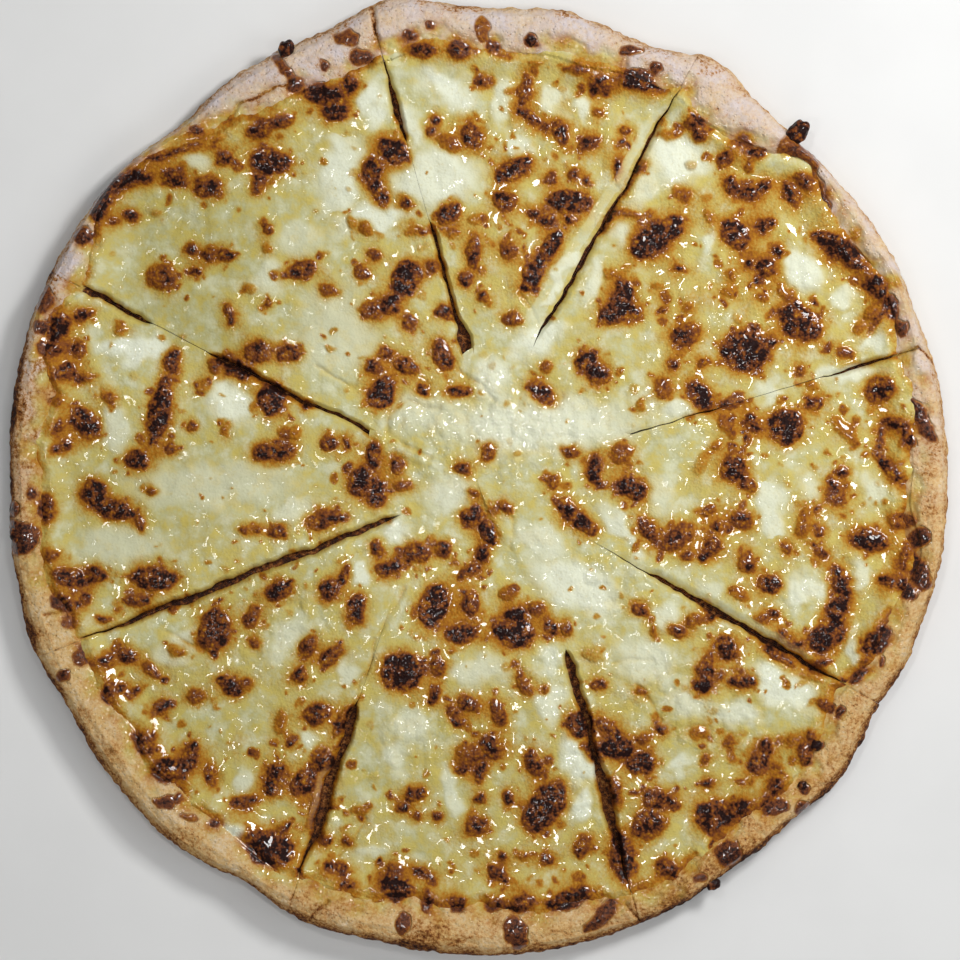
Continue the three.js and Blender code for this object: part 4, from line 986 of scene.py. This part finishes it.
def make_cheese_slice(number, material):
    """One slice's cheese: a fine top, sloping sides, and an underside that follows the dough."""
    sizes = sizes_now()
    slope_steps = int(sizes.slope_width / sizes.spacing)
    flat_rows = int((sizes.cheese_edge_radius - sizes.slope_width) / sizes.spacing)
    rows = 1 + flat_rows + slope_steps + 1 + slope_steps
    columns = int(SLICE_WIDTH / sizes.spacing) + 2 * WALL_STEPS + 1
    piece, row, column = plain_grid(f"cheese_slice_{number + 1}", rows, columns)
    across, below = wrapped_columns(column, columns)

    # Rows run from the tip's foot over the top to the edge, then back under the slope.
    top_rows = flat_rows + slope_steps
    under = row > top_rows + 1
    mirrored = np.where(under, 2 * (top_rows + 1) - row, row)
    level = np.clip(mirrored - 1, 0, top_rows).astype(float)

    def edge(angle, level_now, tip):
        line = ragged_edge(angle)
        flat = tip + (line - sizes.slope_width - tip) * np.minimum(level_now / flat_rows, 1)
        slope = np.maximum(level_now - flat_rows, 0) * sizes.slope_width / slope_steps
        return flat + slope

    radius, angle, *from_sides = slice_layout(number, cheese_gaps, edge, level, across)
    x, y = flat_place(radius, angle)
    shades, relief = cheese_surface(x, y)

    # The top thins out to nothing at the ragged edge, where it meets the dough.
    inward = ragged_edge(angle) - radius
    line = cheese_edge(angle)
    dough = np.where(radius > line, rim_height(radius, angle), dough_slope(line - radius))
    feather = THIN_EDGE + layered(x, y, "thin edge")
    held = 1 - np.clip(1 - inward / feather, 0, 1) ** 1.5
    thick = cheese_top(np.minimum(radius, line), angle) - dough_slope(np.maximum(line - radius, 0))
    thin = 1 - 0.6 * smoothstep(0, 4, radius - line)
    thick = (thin * (thick + relief) + EDGE_SUNK) * held - EDGE_SUNK

    # Beside an open cut the top slopes down, and a wide slope shows its bare pale wall.
    fall, bare, opened = 0, 0, 0
    for cut, slope, away in zip(cuts_beside(number), (LEFT_SLOPE, RIGHT_SLOPE), from_sides):
        width = gape(cut, radius, slope)
        open_here = smoothstep(*OPEN_GAP, gape(cut, radius, GAP))
        fall_here = np.clip(1 - away / width, 0, 1) * open_here
        fall = np.maximum(fall, fall_here)
        bare = np.maximum(bare, fall_here ** 0.4 * smoothstep(*BARE_SLOPE, width))
        opened = np.maximum(opened, open_here * (fall_here > 0))
    top = dough + thick - 0.5 * fall ** 1.7 * np.maximum(thick, 0)
    bottom = dough - UNDERSIDE_SUNK
    height = np.where(under | (row == 0), bottom, top + (bottom - top) * below)

    edge_band = 0.30 * np.exp(-((inward / 4) ** 2)) * (1 + layered(x, y, "toasted edge"))
    tone = 1 - (1 - shades["tone"]) * (1 - np.clip(edge_band, 0, 0.6))
    tone = tone * (1 - 0.88 * bare)
    # Beside open cuts and down the side walls the cheese is painted darker: painted shade in the
    # gaps.
    gap_shade = np.clip(1 - np.minimum(*from_sides) / 1.6, 0, 1) * opened
    shades["tone"] = np.clip(tone + 0.25 * gap_shade + 0.5 * below, 0, 1)
    shades["white"] = np.maximum(shades["white"], 0.35 * bare * (fall < 0.75))
    set_places(piece, np.column_stack([x, y, height]))
    set_attributes(piece, **shades)
    close_underside(piece)
    finish_piece(piece, material, f"cheese_{number + 1}")


def make_crust_slice(number, material):
    """One slice's dough: flat under the cheese, a raised rim, cut sides and a flat underside."""
    sizes = sizes_now()
    floor_rows, slope_rows, rim_rows = CRUST_ROWS
    columns = CRUST_COLUMNS + 2 * WALL_STEPS + 1
    piece, row, column = plain_grid(f"crust_slice_{number + 1}", 1 + sum(CRUST_ROWS), columns)
    across, below = wrapped_columns(column, columns)
    level = np.maximum(row - 1, 0).astype(float)
    rim_share = np.clip((level - floor_rows - slope_rows) / (rim_rows - 1), 0, 1)

    # The rim's section is walked at an even pace, from the cheese's edge over the crest and down.
    section_share, section_height = np.array(RIM_SECTION).T
    out_share = np.interp(rim_share, RIM_PACE, section_share)
    tuck = np.interp(rim_share, FOOT_PACE, (0, 0.28, 1)) * sizes.underside_inset
    section = np.interp(
        rim_share, (*RIM_PACE, *FOOT_PACE[1:]), (*section_height, FOOT_HEIGHT, 0))

    def edge(angle, level_now, tip):
        line, outer = cheese_edge(angle), outline_radius(angle) - OUTLINE_INSET
        start = line - sizes.slope_width
        floor = tip + (start - tip) * np.minimum(level_now / floor_rows, 1)
        slope = np.clip((level_now - floor_rows) / slope_rows, 0, 1) * sizes.slope_width
        rough = layered(angle * OUTLINE_PER_DEGREE, level_now * 0.35, "rim's wall")
        rough = rough * smoothstep(0.5, 0.85, rim_share)
        return floor + slope + out_share * (outer - line) - tuck + rough

    radius, angle, *from_sides = slice_layout(number, dough_gaps, edge, level, across)
    x, y = flat_place(radius, angle)
    in_rim = level > floor_rows + slope_rows
    height = np.where(in_rim, section, dough_slope(cheese_edge(angle) - radius))
    on_top = smoothstep(*CREST_SPAN, height) * in_rim
    height = height + bumps_at(angle, CREST_BUMPS) * on_top

    edge_blisters = [spot for spot in BLISTERS if math.hypot(*spot[:2]) > EDGE_BLISTERS_FROM]
    spots = [full_spot(spot) for spot in (*RIM_SPOTS, *edge_blisters)]
    spotted, raised = browning(x, y, spots, RIM_HALO)
    cracks = crack_depth(x, y, RIM_CRACKS)
    pores = bubbles(x, y, 2.2, SEEDS["dough"] + 10) - 0.5
    pores += 0.6 * (bubbles(x, y, 1.2, SEEDS["dough"] + 11) - 0.5)
    relief = layered(x, y, "rim's wrinkles") + 0.22 * pores * (1 - spotted)
    height += on_top * (relief + 0.9 * raised - 1.2 * cracks)
    nearest_side = np.minimum(*from_sides)
    height -= on_top * 0.2 * np.clip(1 - nearest_side / 0.7, 0, 1) ** 2
    height = np.minimum(height, RIM_TOP - 0.1)

    wall_foot = outline_radius(angle) - OUTLINE_INSET - sizes.underside_inset
    out = np.where(below >= 1, np.minimum(radius, wall_foot), radius)
    height = np.where(row == 0, 0, height * (1 - below))
    x, y = flat_place(out, angle)
    set_places(piece, np.column_stack([x, y, height]))

    outward = radius - ragged_edge(angle)
    shown = in_rim | (outward > -2)
    thin = np.exp(-((np.maximum(outward, 0) / 5.5) ** 2)) * (0.8 + layered(x, y, "film of cheese"))
    film = np.clip(np.maximum(1.3 * thin - 0.3, smoothstep(0.15, 0.5, spotted)), 0, 1)
    golden = 0.36 + layered(x, y, "film's toast")
    set_attributes(
        piece, tone=dough_tone(x, y, angle, rim_share, shown, cracks, nearest_side),
        flour=flour(angle, rim_share, x, y), film=film * shown,
        toast=1 - (1 - golden) * (1 - spotted))
    close_underside(piece)
    finish_piece(piece, material, f"crust_{number + 1}")


def dough_tone(x, y, angle, rim_share, shown, cracks, nearest_side):
    """How brown the dough is, 0 to 1, with painted shade in its cracks, beside the cuts and on the
    dough hidden under the cheese.
    """
    lower_half = smoothstep(-0.35, 0.45, np.sin(np.radians(angle + 200)))
    tone = 0.22 + 0.10 * lower_half + layered(x, y, "rim's tone")
    tone += bumps_at(angle, RIM_TOASTING) + 0.27 * patch_field(x, y, TOASTED_PATCHES, 0.7)
    wall = 0.58 + layered(x, y, "wall's tone")
    tone += smoothstep(wall, wall + 0.2, rim_share) * (0.18 + 0.26 * lower_half)
    # Dough hidden under the cheese, seen only in the gaps, is painted dark: painted shade.
    tone = np.where(shown, tone, 0.88 + layered(x, y, "shaded hidden dough"))
    # Cracks are painted darker, and so is a thin strip beside each cut: painted shade.
    cut_shade = 0.12 * np.clip(1 - nearest_side / 0.6, 0, 1)
    return np.clip(np.maximum(tone, 0.75 * cracks) + cut_shade * shown, 0, 1)


def flour(angle, rim_share, x, y):
    """How floury the dough is: more so on the far side, and less on the rim's outer wall."""
    far_side = smoothstep(-0.2, 0.5, np.sin(np.radians(angle)))
    patches = 0.75 + layered(x, y, "flour")
    wall = 0.8 * smoothstep(0.6, 0.9, rim_share)
    return np.clip((0.12 + 0.88 * far_side) * patches * (1 - wall), 0, 1)


# ---------------------------------------------------------------------------
# Melted centre and drops
# ---------------------------------------------------------------------------

def make_melted_centre(material):
    """The pool of cheese that joins the slices' tips."""
    rows = MELT_RINGS + MELT_UNDER_RINGS + 1
    piece, row, column = plain_grid("melted_centre", rows, MELT_STEPS + 1)
    angle = 360 * (column % MELT_STEPS) / MELT_STEPS
    on_top = row <= MELT_RINGS
    back = 1 - 0.5 * (row - MELT_RINGS) / MELT_UNDER_RINGS
    reach = melt_reach(angle) + layered(angle * 0.7, angle * 0, "melt's edge")
    radius = np.where(on_top, row / MELT_RINGS, back) * reach
    x, y = flat_place(radius, angle)
    shades, relief = cheese_surface(x, y)
    level = cheese_top(radius, angle)
    inward = reach - radius
    lift = smoothstep(0, MELT_RISE, inward) ** 1.3 - MELT_SUNK
    lift -= 0.5 * smoothstep(MELT_LIP, 0, inward)
    height = np.where(on_top, level + relief + lift, level - MELT_DEPTH)
    set_places(piece, np.column_stack([x, y, height]))
    set_attributes(piece, **shades)
    close_underside(piece)
    finish_piece(piece, material, "centre_melt")


def make_burnt_drops(material):
    """Dark drops of cheese and crumbs on the rim, joined as one piece."""
    drops = []
    for x, y, long, wide, turn, height in BURNT_DROPS:
        deselect_all()
        bpy.ops.mesh.primitive_ico_sphere_add(subdivisions=4, radius=1)
        drop = bpy.context.object
        places = places_of(drop)
        east, north, up = places.T
        lumps = 1 + 0.16 * noise(east * 3 + x, north * 3 + y, 2, SEEDS["drops"])
        lumps += 0.10 * noise(east * 3 + x, up * 3 + y, 1, SEEDS["drops"] + 1)
        places *= lumps[:, None] * np.array((long / 2, wide / 2, 0.38 * wide))
        cos, sin = math.cos(math.radians(turn)), math.sin(math.radians(turn))
        set_places(drop, np.column_stack([
            east * cos - north * sin + x,
            east * sin + north * cos + y,
            np.minimum(up + height, RIM_TOP - 0.05),
        ]))
        drops.append(drop)
    deselect_all()
    for drop in drops:
        drop.select_set(True)
    bpy.context.view_layer.objects.active = drops[0]
    bpy.ops.object.join()
    piece = bpy.context.object
    piece.name = "burnt_drops"
    bpy.ops.object.shade_smooth()
    set_attributes(piece, tone=np.full(len(piece.data.vertices), 0.97))
    finish_piece(piece, material, None)


# ---------------------------------------------------------------------------
# Materials
# ---------------------------------------------------------------------------

class Wires:
    """Adds nodes to a material and joins them."""

    def __init__(self, name, **numbers):
        self.material = bpy.data.materials.new(name)
        self.material.use_nodes = True
        self.tree = self.material.node_tree
        self.shader = self.tree.nodes["Principled BSDF"]
        self.place = self.add("ShaderNodeTexCoord").outputs["Object"]
        for key, value in numbers.items():
            self.shader.inputs[key.replace("_", " ")].default_value = value

    def add(self, kind, inputs=None, **settings):
        """A node with its settings, and its inputs set or joined."""
        node = self.tree.nodes.new(kind)
        for key, value in settings.items():
            setattr(node, key, value)
        for key, value in (inputs or {}).items():
            if isinstance(value, bpy.types.NodeSocket):
                self.tree.links.new(value, node.inputs[key])
            else:
                node.inputs[key].default_value = value
        return node

    def join(self, output, key):
        """Joins an output to an input of the shader."""
        self.tree.links.new(output, self.shader.inputs[key])

    def attribute(self, name):
        """A number that each point of the mesh carries."""
        return self.add("ShaderNodeAttribute", attribute_name=name).outputs["Fac"]

    def math(self, operation, first, second, clamp=False):
        """One sum of two numbers."""
        inputs = {0: first, 1: second}
        return self.add("ShaderNodeMath", inputs, operation=operation, use_clamp=clamp).outputs[0]

    def times(self, first, second):
        """Two numbers multiplied."""
        return self.math("MULTIPLY", first, second)

    def plus(self, first, second, clamp=False):
        """Two numbers added."""
        return self.math("ADD", first, second, clamp)

    def minus(self, first, second):
        """One number less another."""
        return self.math("SUBTRACT", first, second)

    def larger(self, first, second):
        """The larger of two numbers."""
        return self.math("MAXIMUM", first, second)

    def noise(self, size, detail, roughness=0.5, flat=False):
        """Noise in lumps of a size in millimetres, 0 to 1. Flat noise goes by x and y alone."""
        inputs = {"Vector": self.place, "Scale": 1 / (size * MM), "Detail": detail,
                  "Roughness": roughness}
        kind = "2D" if flat else "3D"
        return self.add("ShaderNodeTexNoise", inputs, noise_dimensions=kind).outputs["Fac"]

    def cells(self, size, flat=False):
        """Round cells of a size in millimetres, low in the middle of each."""
        inputs = {"Vector": self.place, "Scale": 1 / (size * MM)}
        kind = "2D" if flat else "3D"
        node = self.add("ShaderNodeTexVoronoi", inputs, voronoi_dimensions=kind)
        return node.outputs["Distance"]

    def span(self, value, low, high, to_low=0.0, to_high=1.0):
        """A number brought smoothly from one range to another."""
        inputs = {"Value": value, "From Min": low, "From Max": high, "To Min": to_low,
                  "To Max": to_high}
        kind = "SMOOTHSTEP"
        return self.add("ShaderNodeMapRange", inputs, interpolation_type=kind).outputs["Result"]

    def ramp(self, value, stops):
        """A colour by a number, from (position, colour) stops."""
        node = self.add("ShaderNodeValToRGB", {"Fac": value})
        elements = node.color_ramp.elements
        while len(elements) < len(stops):
            elements.new(0.5)
        for element, (position, shade) in zip(elements, stops):
            element.position = position
            element.color = (*shade, 1)
        return node.outputs["Color"]

    def mix(self, share, first, second, kind="MIX"):
        """Two colours mixed."""
        first, second = (
            shade if isinstance(shade, bpy.types.NodeSocket) else (*shade, 1)
            for shade in (first, second))
        inputs = {0: share, 6: first, 7: second}
        return self.add("ShaderNodeMix", inputs, data_type="RGBA", blend_type=kind).outputs[2]

    def bump(self, height, distance):
        """A bump whose full height is this many millimetres."""
        inputs = {"Height": height, "Distance": distance * MM, "Strength": 1.0}
        return self.add("ShaderNodeBump", inputs).outputs["Normal"]


def cheese_ramp(wires, tone, tones):
    """The cheese's colour, from pale to burnt."""
    return wires.ramp(tone, (
        (0.03, tones.cheese_pale), (0.19, tones.cheese_cream), (0.36, tones.cheese_gold),
        (0.52, tones.cheese_amber), (0.67, tones.cheese_brown), (0.82, tones.cheese_dark),
        (1.0, tones.cheese_burnt)))


def cheese_material():
    """Melted cheese: pale and oily, toasted to gold and amber, with dark bubbly blisters."""
    tones = bpy.context.scene.pizza_tones
    wires = Wires("melted cheese", Roughness=0.5, Specular_IOR_Level=0.06,
                  Coat_Roughness=0.05, Coat_IOR=1.45)
    times, span = wires.times, wires.span
    browned, wet, white, dull_shade_share = map(wires.attribute, ("tone", "wet", "white", "dull_shade"))
    grain = wires.noise(1.1, 2.0, 0.55, flat=True)
    broad = wires.noise(5.5, 3.0, 0.55, flat=True)
    cell = wires.cells(1.1, flat=True)

    flecks = times(wires.minus(grain, 0.5), span(browned, 0.1, 0.8, 0.20, 0.40))
    # The seams between the bubbles are darker and their tops lighter: partly burnt, partly painted
    # shade.
    seams = times(wires.minus(cell, 0.36), span(browned, 0.5, 0.85, 0, 0.30))
    mottle = wires.minus(wires.noise(3.0, 2.0, 0.5, flat=True), 0.51)
    mottle = times(mottle, span(browned, 0.6, 0.9, 0, 1.1))
    tone = wires.plus(wires.plus(browned, flecks), wires.plus(seams, mottle), clamp=True)
    base = cheese_ramp(wires, tone, tones)
    pale = span(tone, 0.1, 0.45, 1, 0)
    butter = times(span(broad, 0.44, 0.70), times(pale, 0.8))
    base = wires.mix(butter, base, tones.cheese_butter)
    # Soft whitish patches on the pale cheese are a painted sheen, mixed in with the white cheese.
    painted_sheen = times(span(broad, 0.52, 0.26), times(pale, 0.4))
    white = wires.larger(times(white, span(grain, 0.2, 0.5, 0.7, 1)), painted_sheen)
    base = wires.mix(white, base, tones.cheese_white)
    # In the shaded areas the colour is darkened and greyed: painted shade.
    base = wires.mix(dull_shade_share, base, wires.mix(1.0, base, (0.78, 0.77, 0.70), "MULTIPLY"))
    wires.join(base, "Base Color")

    domes = times(span(cell, 0.0, 0.62, 1, 0), span(browned, 0.1, 0.6, 0.06, 0.24))
    skin = times(wires.noise(2.6, 2.0, 0.45, flat=True), span(wet, 0, 1, 0.5, 1.0))
    beads = times(wires.noise(0.8, 1.0, 0.5, flat=True), span(browned, 0.05, 0.3, 0.14, 0.36))
    beads = times(beads, span(wet, 0.2, 1, 1, 0.6))
    wires.join(wires.bump(wires.plus(wires.plus(domes, skin), beads), 0.5), "Normal")
    oily = wires.larger(span(browned, 0.03, 0.3, 0.18, 0.85), span(wet, 0, 1, 0, 0.7))
    oily = times(oily, span(browned, 0.55, 0.9, 1, 0.5))
    oily = times(oily, span(dull_shade_share, 0.1, 0.6, 1, 0.5))
    wires.join(oily, "Coat Weight")
    return wires.material


def dough_material():
    """Baked dough: matte, floury, finely pitted, with toasted edges, and cheese burnt onto it."""
    tones = bpy.context.scene.pizza_tones
    wires = Wires("baked dough", Specular_IOR_Level=0.15, Coat_Roughness=0.05, Coat_IOR=1.45)
    times, span = wires.times, wires.span
    browned, floured, film, toast = map(wires.attribute, ("tone", "flour", "film", "toast"))
    grain = wires.noise(1.1, 3.0, 0.7)
    pits = wires.cells(1.3)
    speckle = wires.minus(grain, 0.5)

    flecks = times(speckle, span(browned, 0.2, 0.6, 1.1, 1.4))
    # The pits are painted darker: painted shade in them.
    pit_shade = times(span(pits, 0.25, 0.0), span(grain, 0.45, 0.65, 0.0, 0.28))
    tone = wires.plus(wires.plus(browned, flecks), pit_shade, clamp=True)
    base = wires.ramp(tone, (
        (0.02, tones.dough_cream), (0.28, tones.dough_tan), (0.50, tones.dough_gold),
        (0.74, tones.dough_brown), (0.96, tones.dough_burnt)))
    dusty = times(floured, span(wires.noise(2.0, 4.0, 0.7), 0.34, 0.58, 0.6, 1.0))
    dusty = times(dusty, span(tone, 0.4, 0.65, 0.95, 0))
    base = wires.mix(dusty, base, tones.dough_pale)
    uneven = times(speckle, span(toast, 0.3, 0.8, 0.4, 0.9))
    burnt_on = cheese_ramp(wires, wires.plus(toast, uneven, clamp=True), tones)
    wires.join(wires.mix(film, base, burnt_on), "Base Color")

    wires.join(times(film, 0.85), "Coat Weight")
    wires.join(span(film, 0, 1, 0.8, 0.5), "Roughness")
    lumps = times(wires.noise(2.6, 4.0, 0.65), span(film, 0, 1, 0.9, 0.15))
    pitted = times(span(pits, 0.0, 0.4), span(film, 0.2, 0.8, 0.4, -0.25))
    wires.join(wires.bump(wires.plus(lumps, pitted), 0.6), "Normal")
    return wires.material


def floor_material():
    """A plain pale floor."""
    tones = bpy.context.scene.pizza_tones
    wires = Wires("plain floor", Roughness=0.9)
    mottle = wires.span(wires.noise(40, 3.0), 0.3, 0.7, 0.97, 1.0)
    inputs = {"Red": mottle, "Green": mottle, "Blue": mottle}
    grey = wires.add("ShaderNodeCombineColor", inputs).outputs[0]
    wires.join(wires.mix(1.0, tuple(tones.floor), grey, "MULTIPLY"), "Base Color")
    return wires.material


def shared_material(make, name):
    """A material that several pieces share."""
    return bpy.data.materials.get(name) or make()


# ---------------------------------------------------------------------------
# Operators
# ---------------------------------------------------------------------------

class PIZZA_OT_stage(bpy.types.Operator):
    """Adds the floor, the lights and the camera"""

    bl_idname = "pizza.stage"
    bl_label = "Stage"

    def execute(self, context):
        deselect_all()
        bpy.ops.mesh.primitive_plane_add(size=FLOOR_SIZE * MM, location=(0, 0, -FLOOR_DROP * MM))
        floor = bpy.context.object
        floor.name = "floor"
        floor.data.materials.append(floor_material())
        self.add_camera(context)
        self.add_lights(context)
        return {"FINISHED"}

    @staticmethod
    def add_camera(context):
        """A camera straight above, as far as a phone held high."""
        stage = context.scene.pizza_stage
        height = stage.focus_height + stage.camera_height
        bpy.ops.object.camera_add(location=(stage.view_x, stage.view_y, height))
        camera = bpy.context.object
        camera.rotation_euler = (0, 0, 0)
        camera.data.sensor_width = SENSOR
        camera.data.lens = SENSOR * stage.camera_height / stage.view_width
        context.scene.camera = camera

    @staticmethod
    def add_lights(context):
        """Soft light from the far right, with lamps that give the oil its glints."""
        world = bpy.data.worlds.new("studio")
        world.use_nodes = True
        for key, value in AMBIENT.items():
            world.node_tree.nodes["Background"].inputs[key].default_value = value
        context.scene.world = world
        for name, (x, y, z), size, power, shines in LAMPS:
            bpy.ops.object.light_add(type="AREA", location=(x, y, z))
            lamp = context.object
            lamp.name = name
            lamp.data.size = size
            lamp.data.energy = power
            lamp.visible_glossy = shines
            lamp.rotation_euler = (0, math.atan2(math.hypot(x, y), z), math.atan2(y, x))
        context.scene.view_settings.view_transform = "Standard"


class PIZZA_OT_crust_slices(bpy.types.Operator):
    """Makes the eight slices of dough with their raised rim"""

    bl_idname = "pizza.crust_slices"
    bl_label = "Crust slices"

    def execute(self, context):
        material = shared_material(dough_material, "baked dough")
        for number in range(len(CUTS)):
            make_crust_slice(number, material)
        return {"FINISHED"}


class PIZZA_OT_cheese_slices(bpy.types.Operator):
    """Makes the cheese on the eight slices, with its browned blisters"""

    bl_idname = "pizza.cheese_slices"
    bl_label = "Cheese slices"

    def execute(self, context):
        material = shared_material(cheese_material, "melted cheese")
        for number in range(len(CUTS)):
            make_cheese_slice(number, material)
        return {"FINISHED"}


class PIZZA_OT_melted_centre(bpy.types.Operator):
    """Makes the cheese that ran back together over the slices' tips"""

    bl_idname = "pizza.melted_centre"
    bl_label = "Melted centre"

    def execute(self, context):
        make_melted_centre(shared_material(cheese_material, "melted cheese"))
        return {"FINISHED"}


class PIZZA_OT_burnt_drops(bpy.types.Operator):
    """Makes the burnt drops and crumbs on the rim"""

    bl_idname = "pizza.burnt_drops"
    bl_label = "Burnt drops"

    def execute(self, context):
        make_burnt_drops(shared_material(cheese_material, "melted cheese"))
        return {"FINISHED"}


class PIZZA_PT_panel(bpy.types.Panel):
    """The pizza's pieces, in the sidebar"""

    bl_label = "Cheese pizza"
    bl_idname = "PIZZA_PT_panel"
    bl_space_type = "VIEW_3D"
    bl_region_type = "UI"
    bl_category = "Pizza"

    def draw(self, context):
        for operator in OPERATORS:
            self.layout.operator(operator.bl_idname)
        for key, group in GROUPS.items():
            box = self.layout.box()
            for name in group.__annotations__:
                box.prop(getattr(context.scene, key), name)


GROUPS = {"pizza_sizes": PizzaSizes, "pizza_tones": PizzaTones, "pizza_stage": PizzaStage}
OPERATORS = (
    PIZZA_OT_stage, PIZZA_OT_crust_slices, PIZZA_OT_cheese_slices, PIZZA_OT_melted_centre,
    PIZZA_OT_burnt_drops,
)


def register():
    """Registers the add-on's classes."""
    for name, group in GROUPS.items():
        bpy.utils.register_class(group)
        setattr(bpy.types.Scene, name, bpy.props.PointerProperty(type=group))
    for kind in (*OPERATORS, PIZZA_PT_panel):
        bpy.utils.register_class(kind)


def unregister():
    """Removes the add-on's classes."""
    for kind in (PIZZA_PT_panel, *OPERATORS):
        bpy.utils.unregister_class(kind)
    for name, group in GROUPS.items():
        delattr(bpy.types.Scene, name)
        bpy.utils.unregister_class(group)


def main():
    """Builds the whole pizza."""
    register()
    bpy.ops.pizza.stage()
    bpy.ops.pizza.crust_slices()
    bpy.ops.pizza.cheese_slices()
    bpy.ops.pizza.melted_centre()
    bpy.ops.pizza.burnt_drops()


if __name__ == "__main__":
    main()
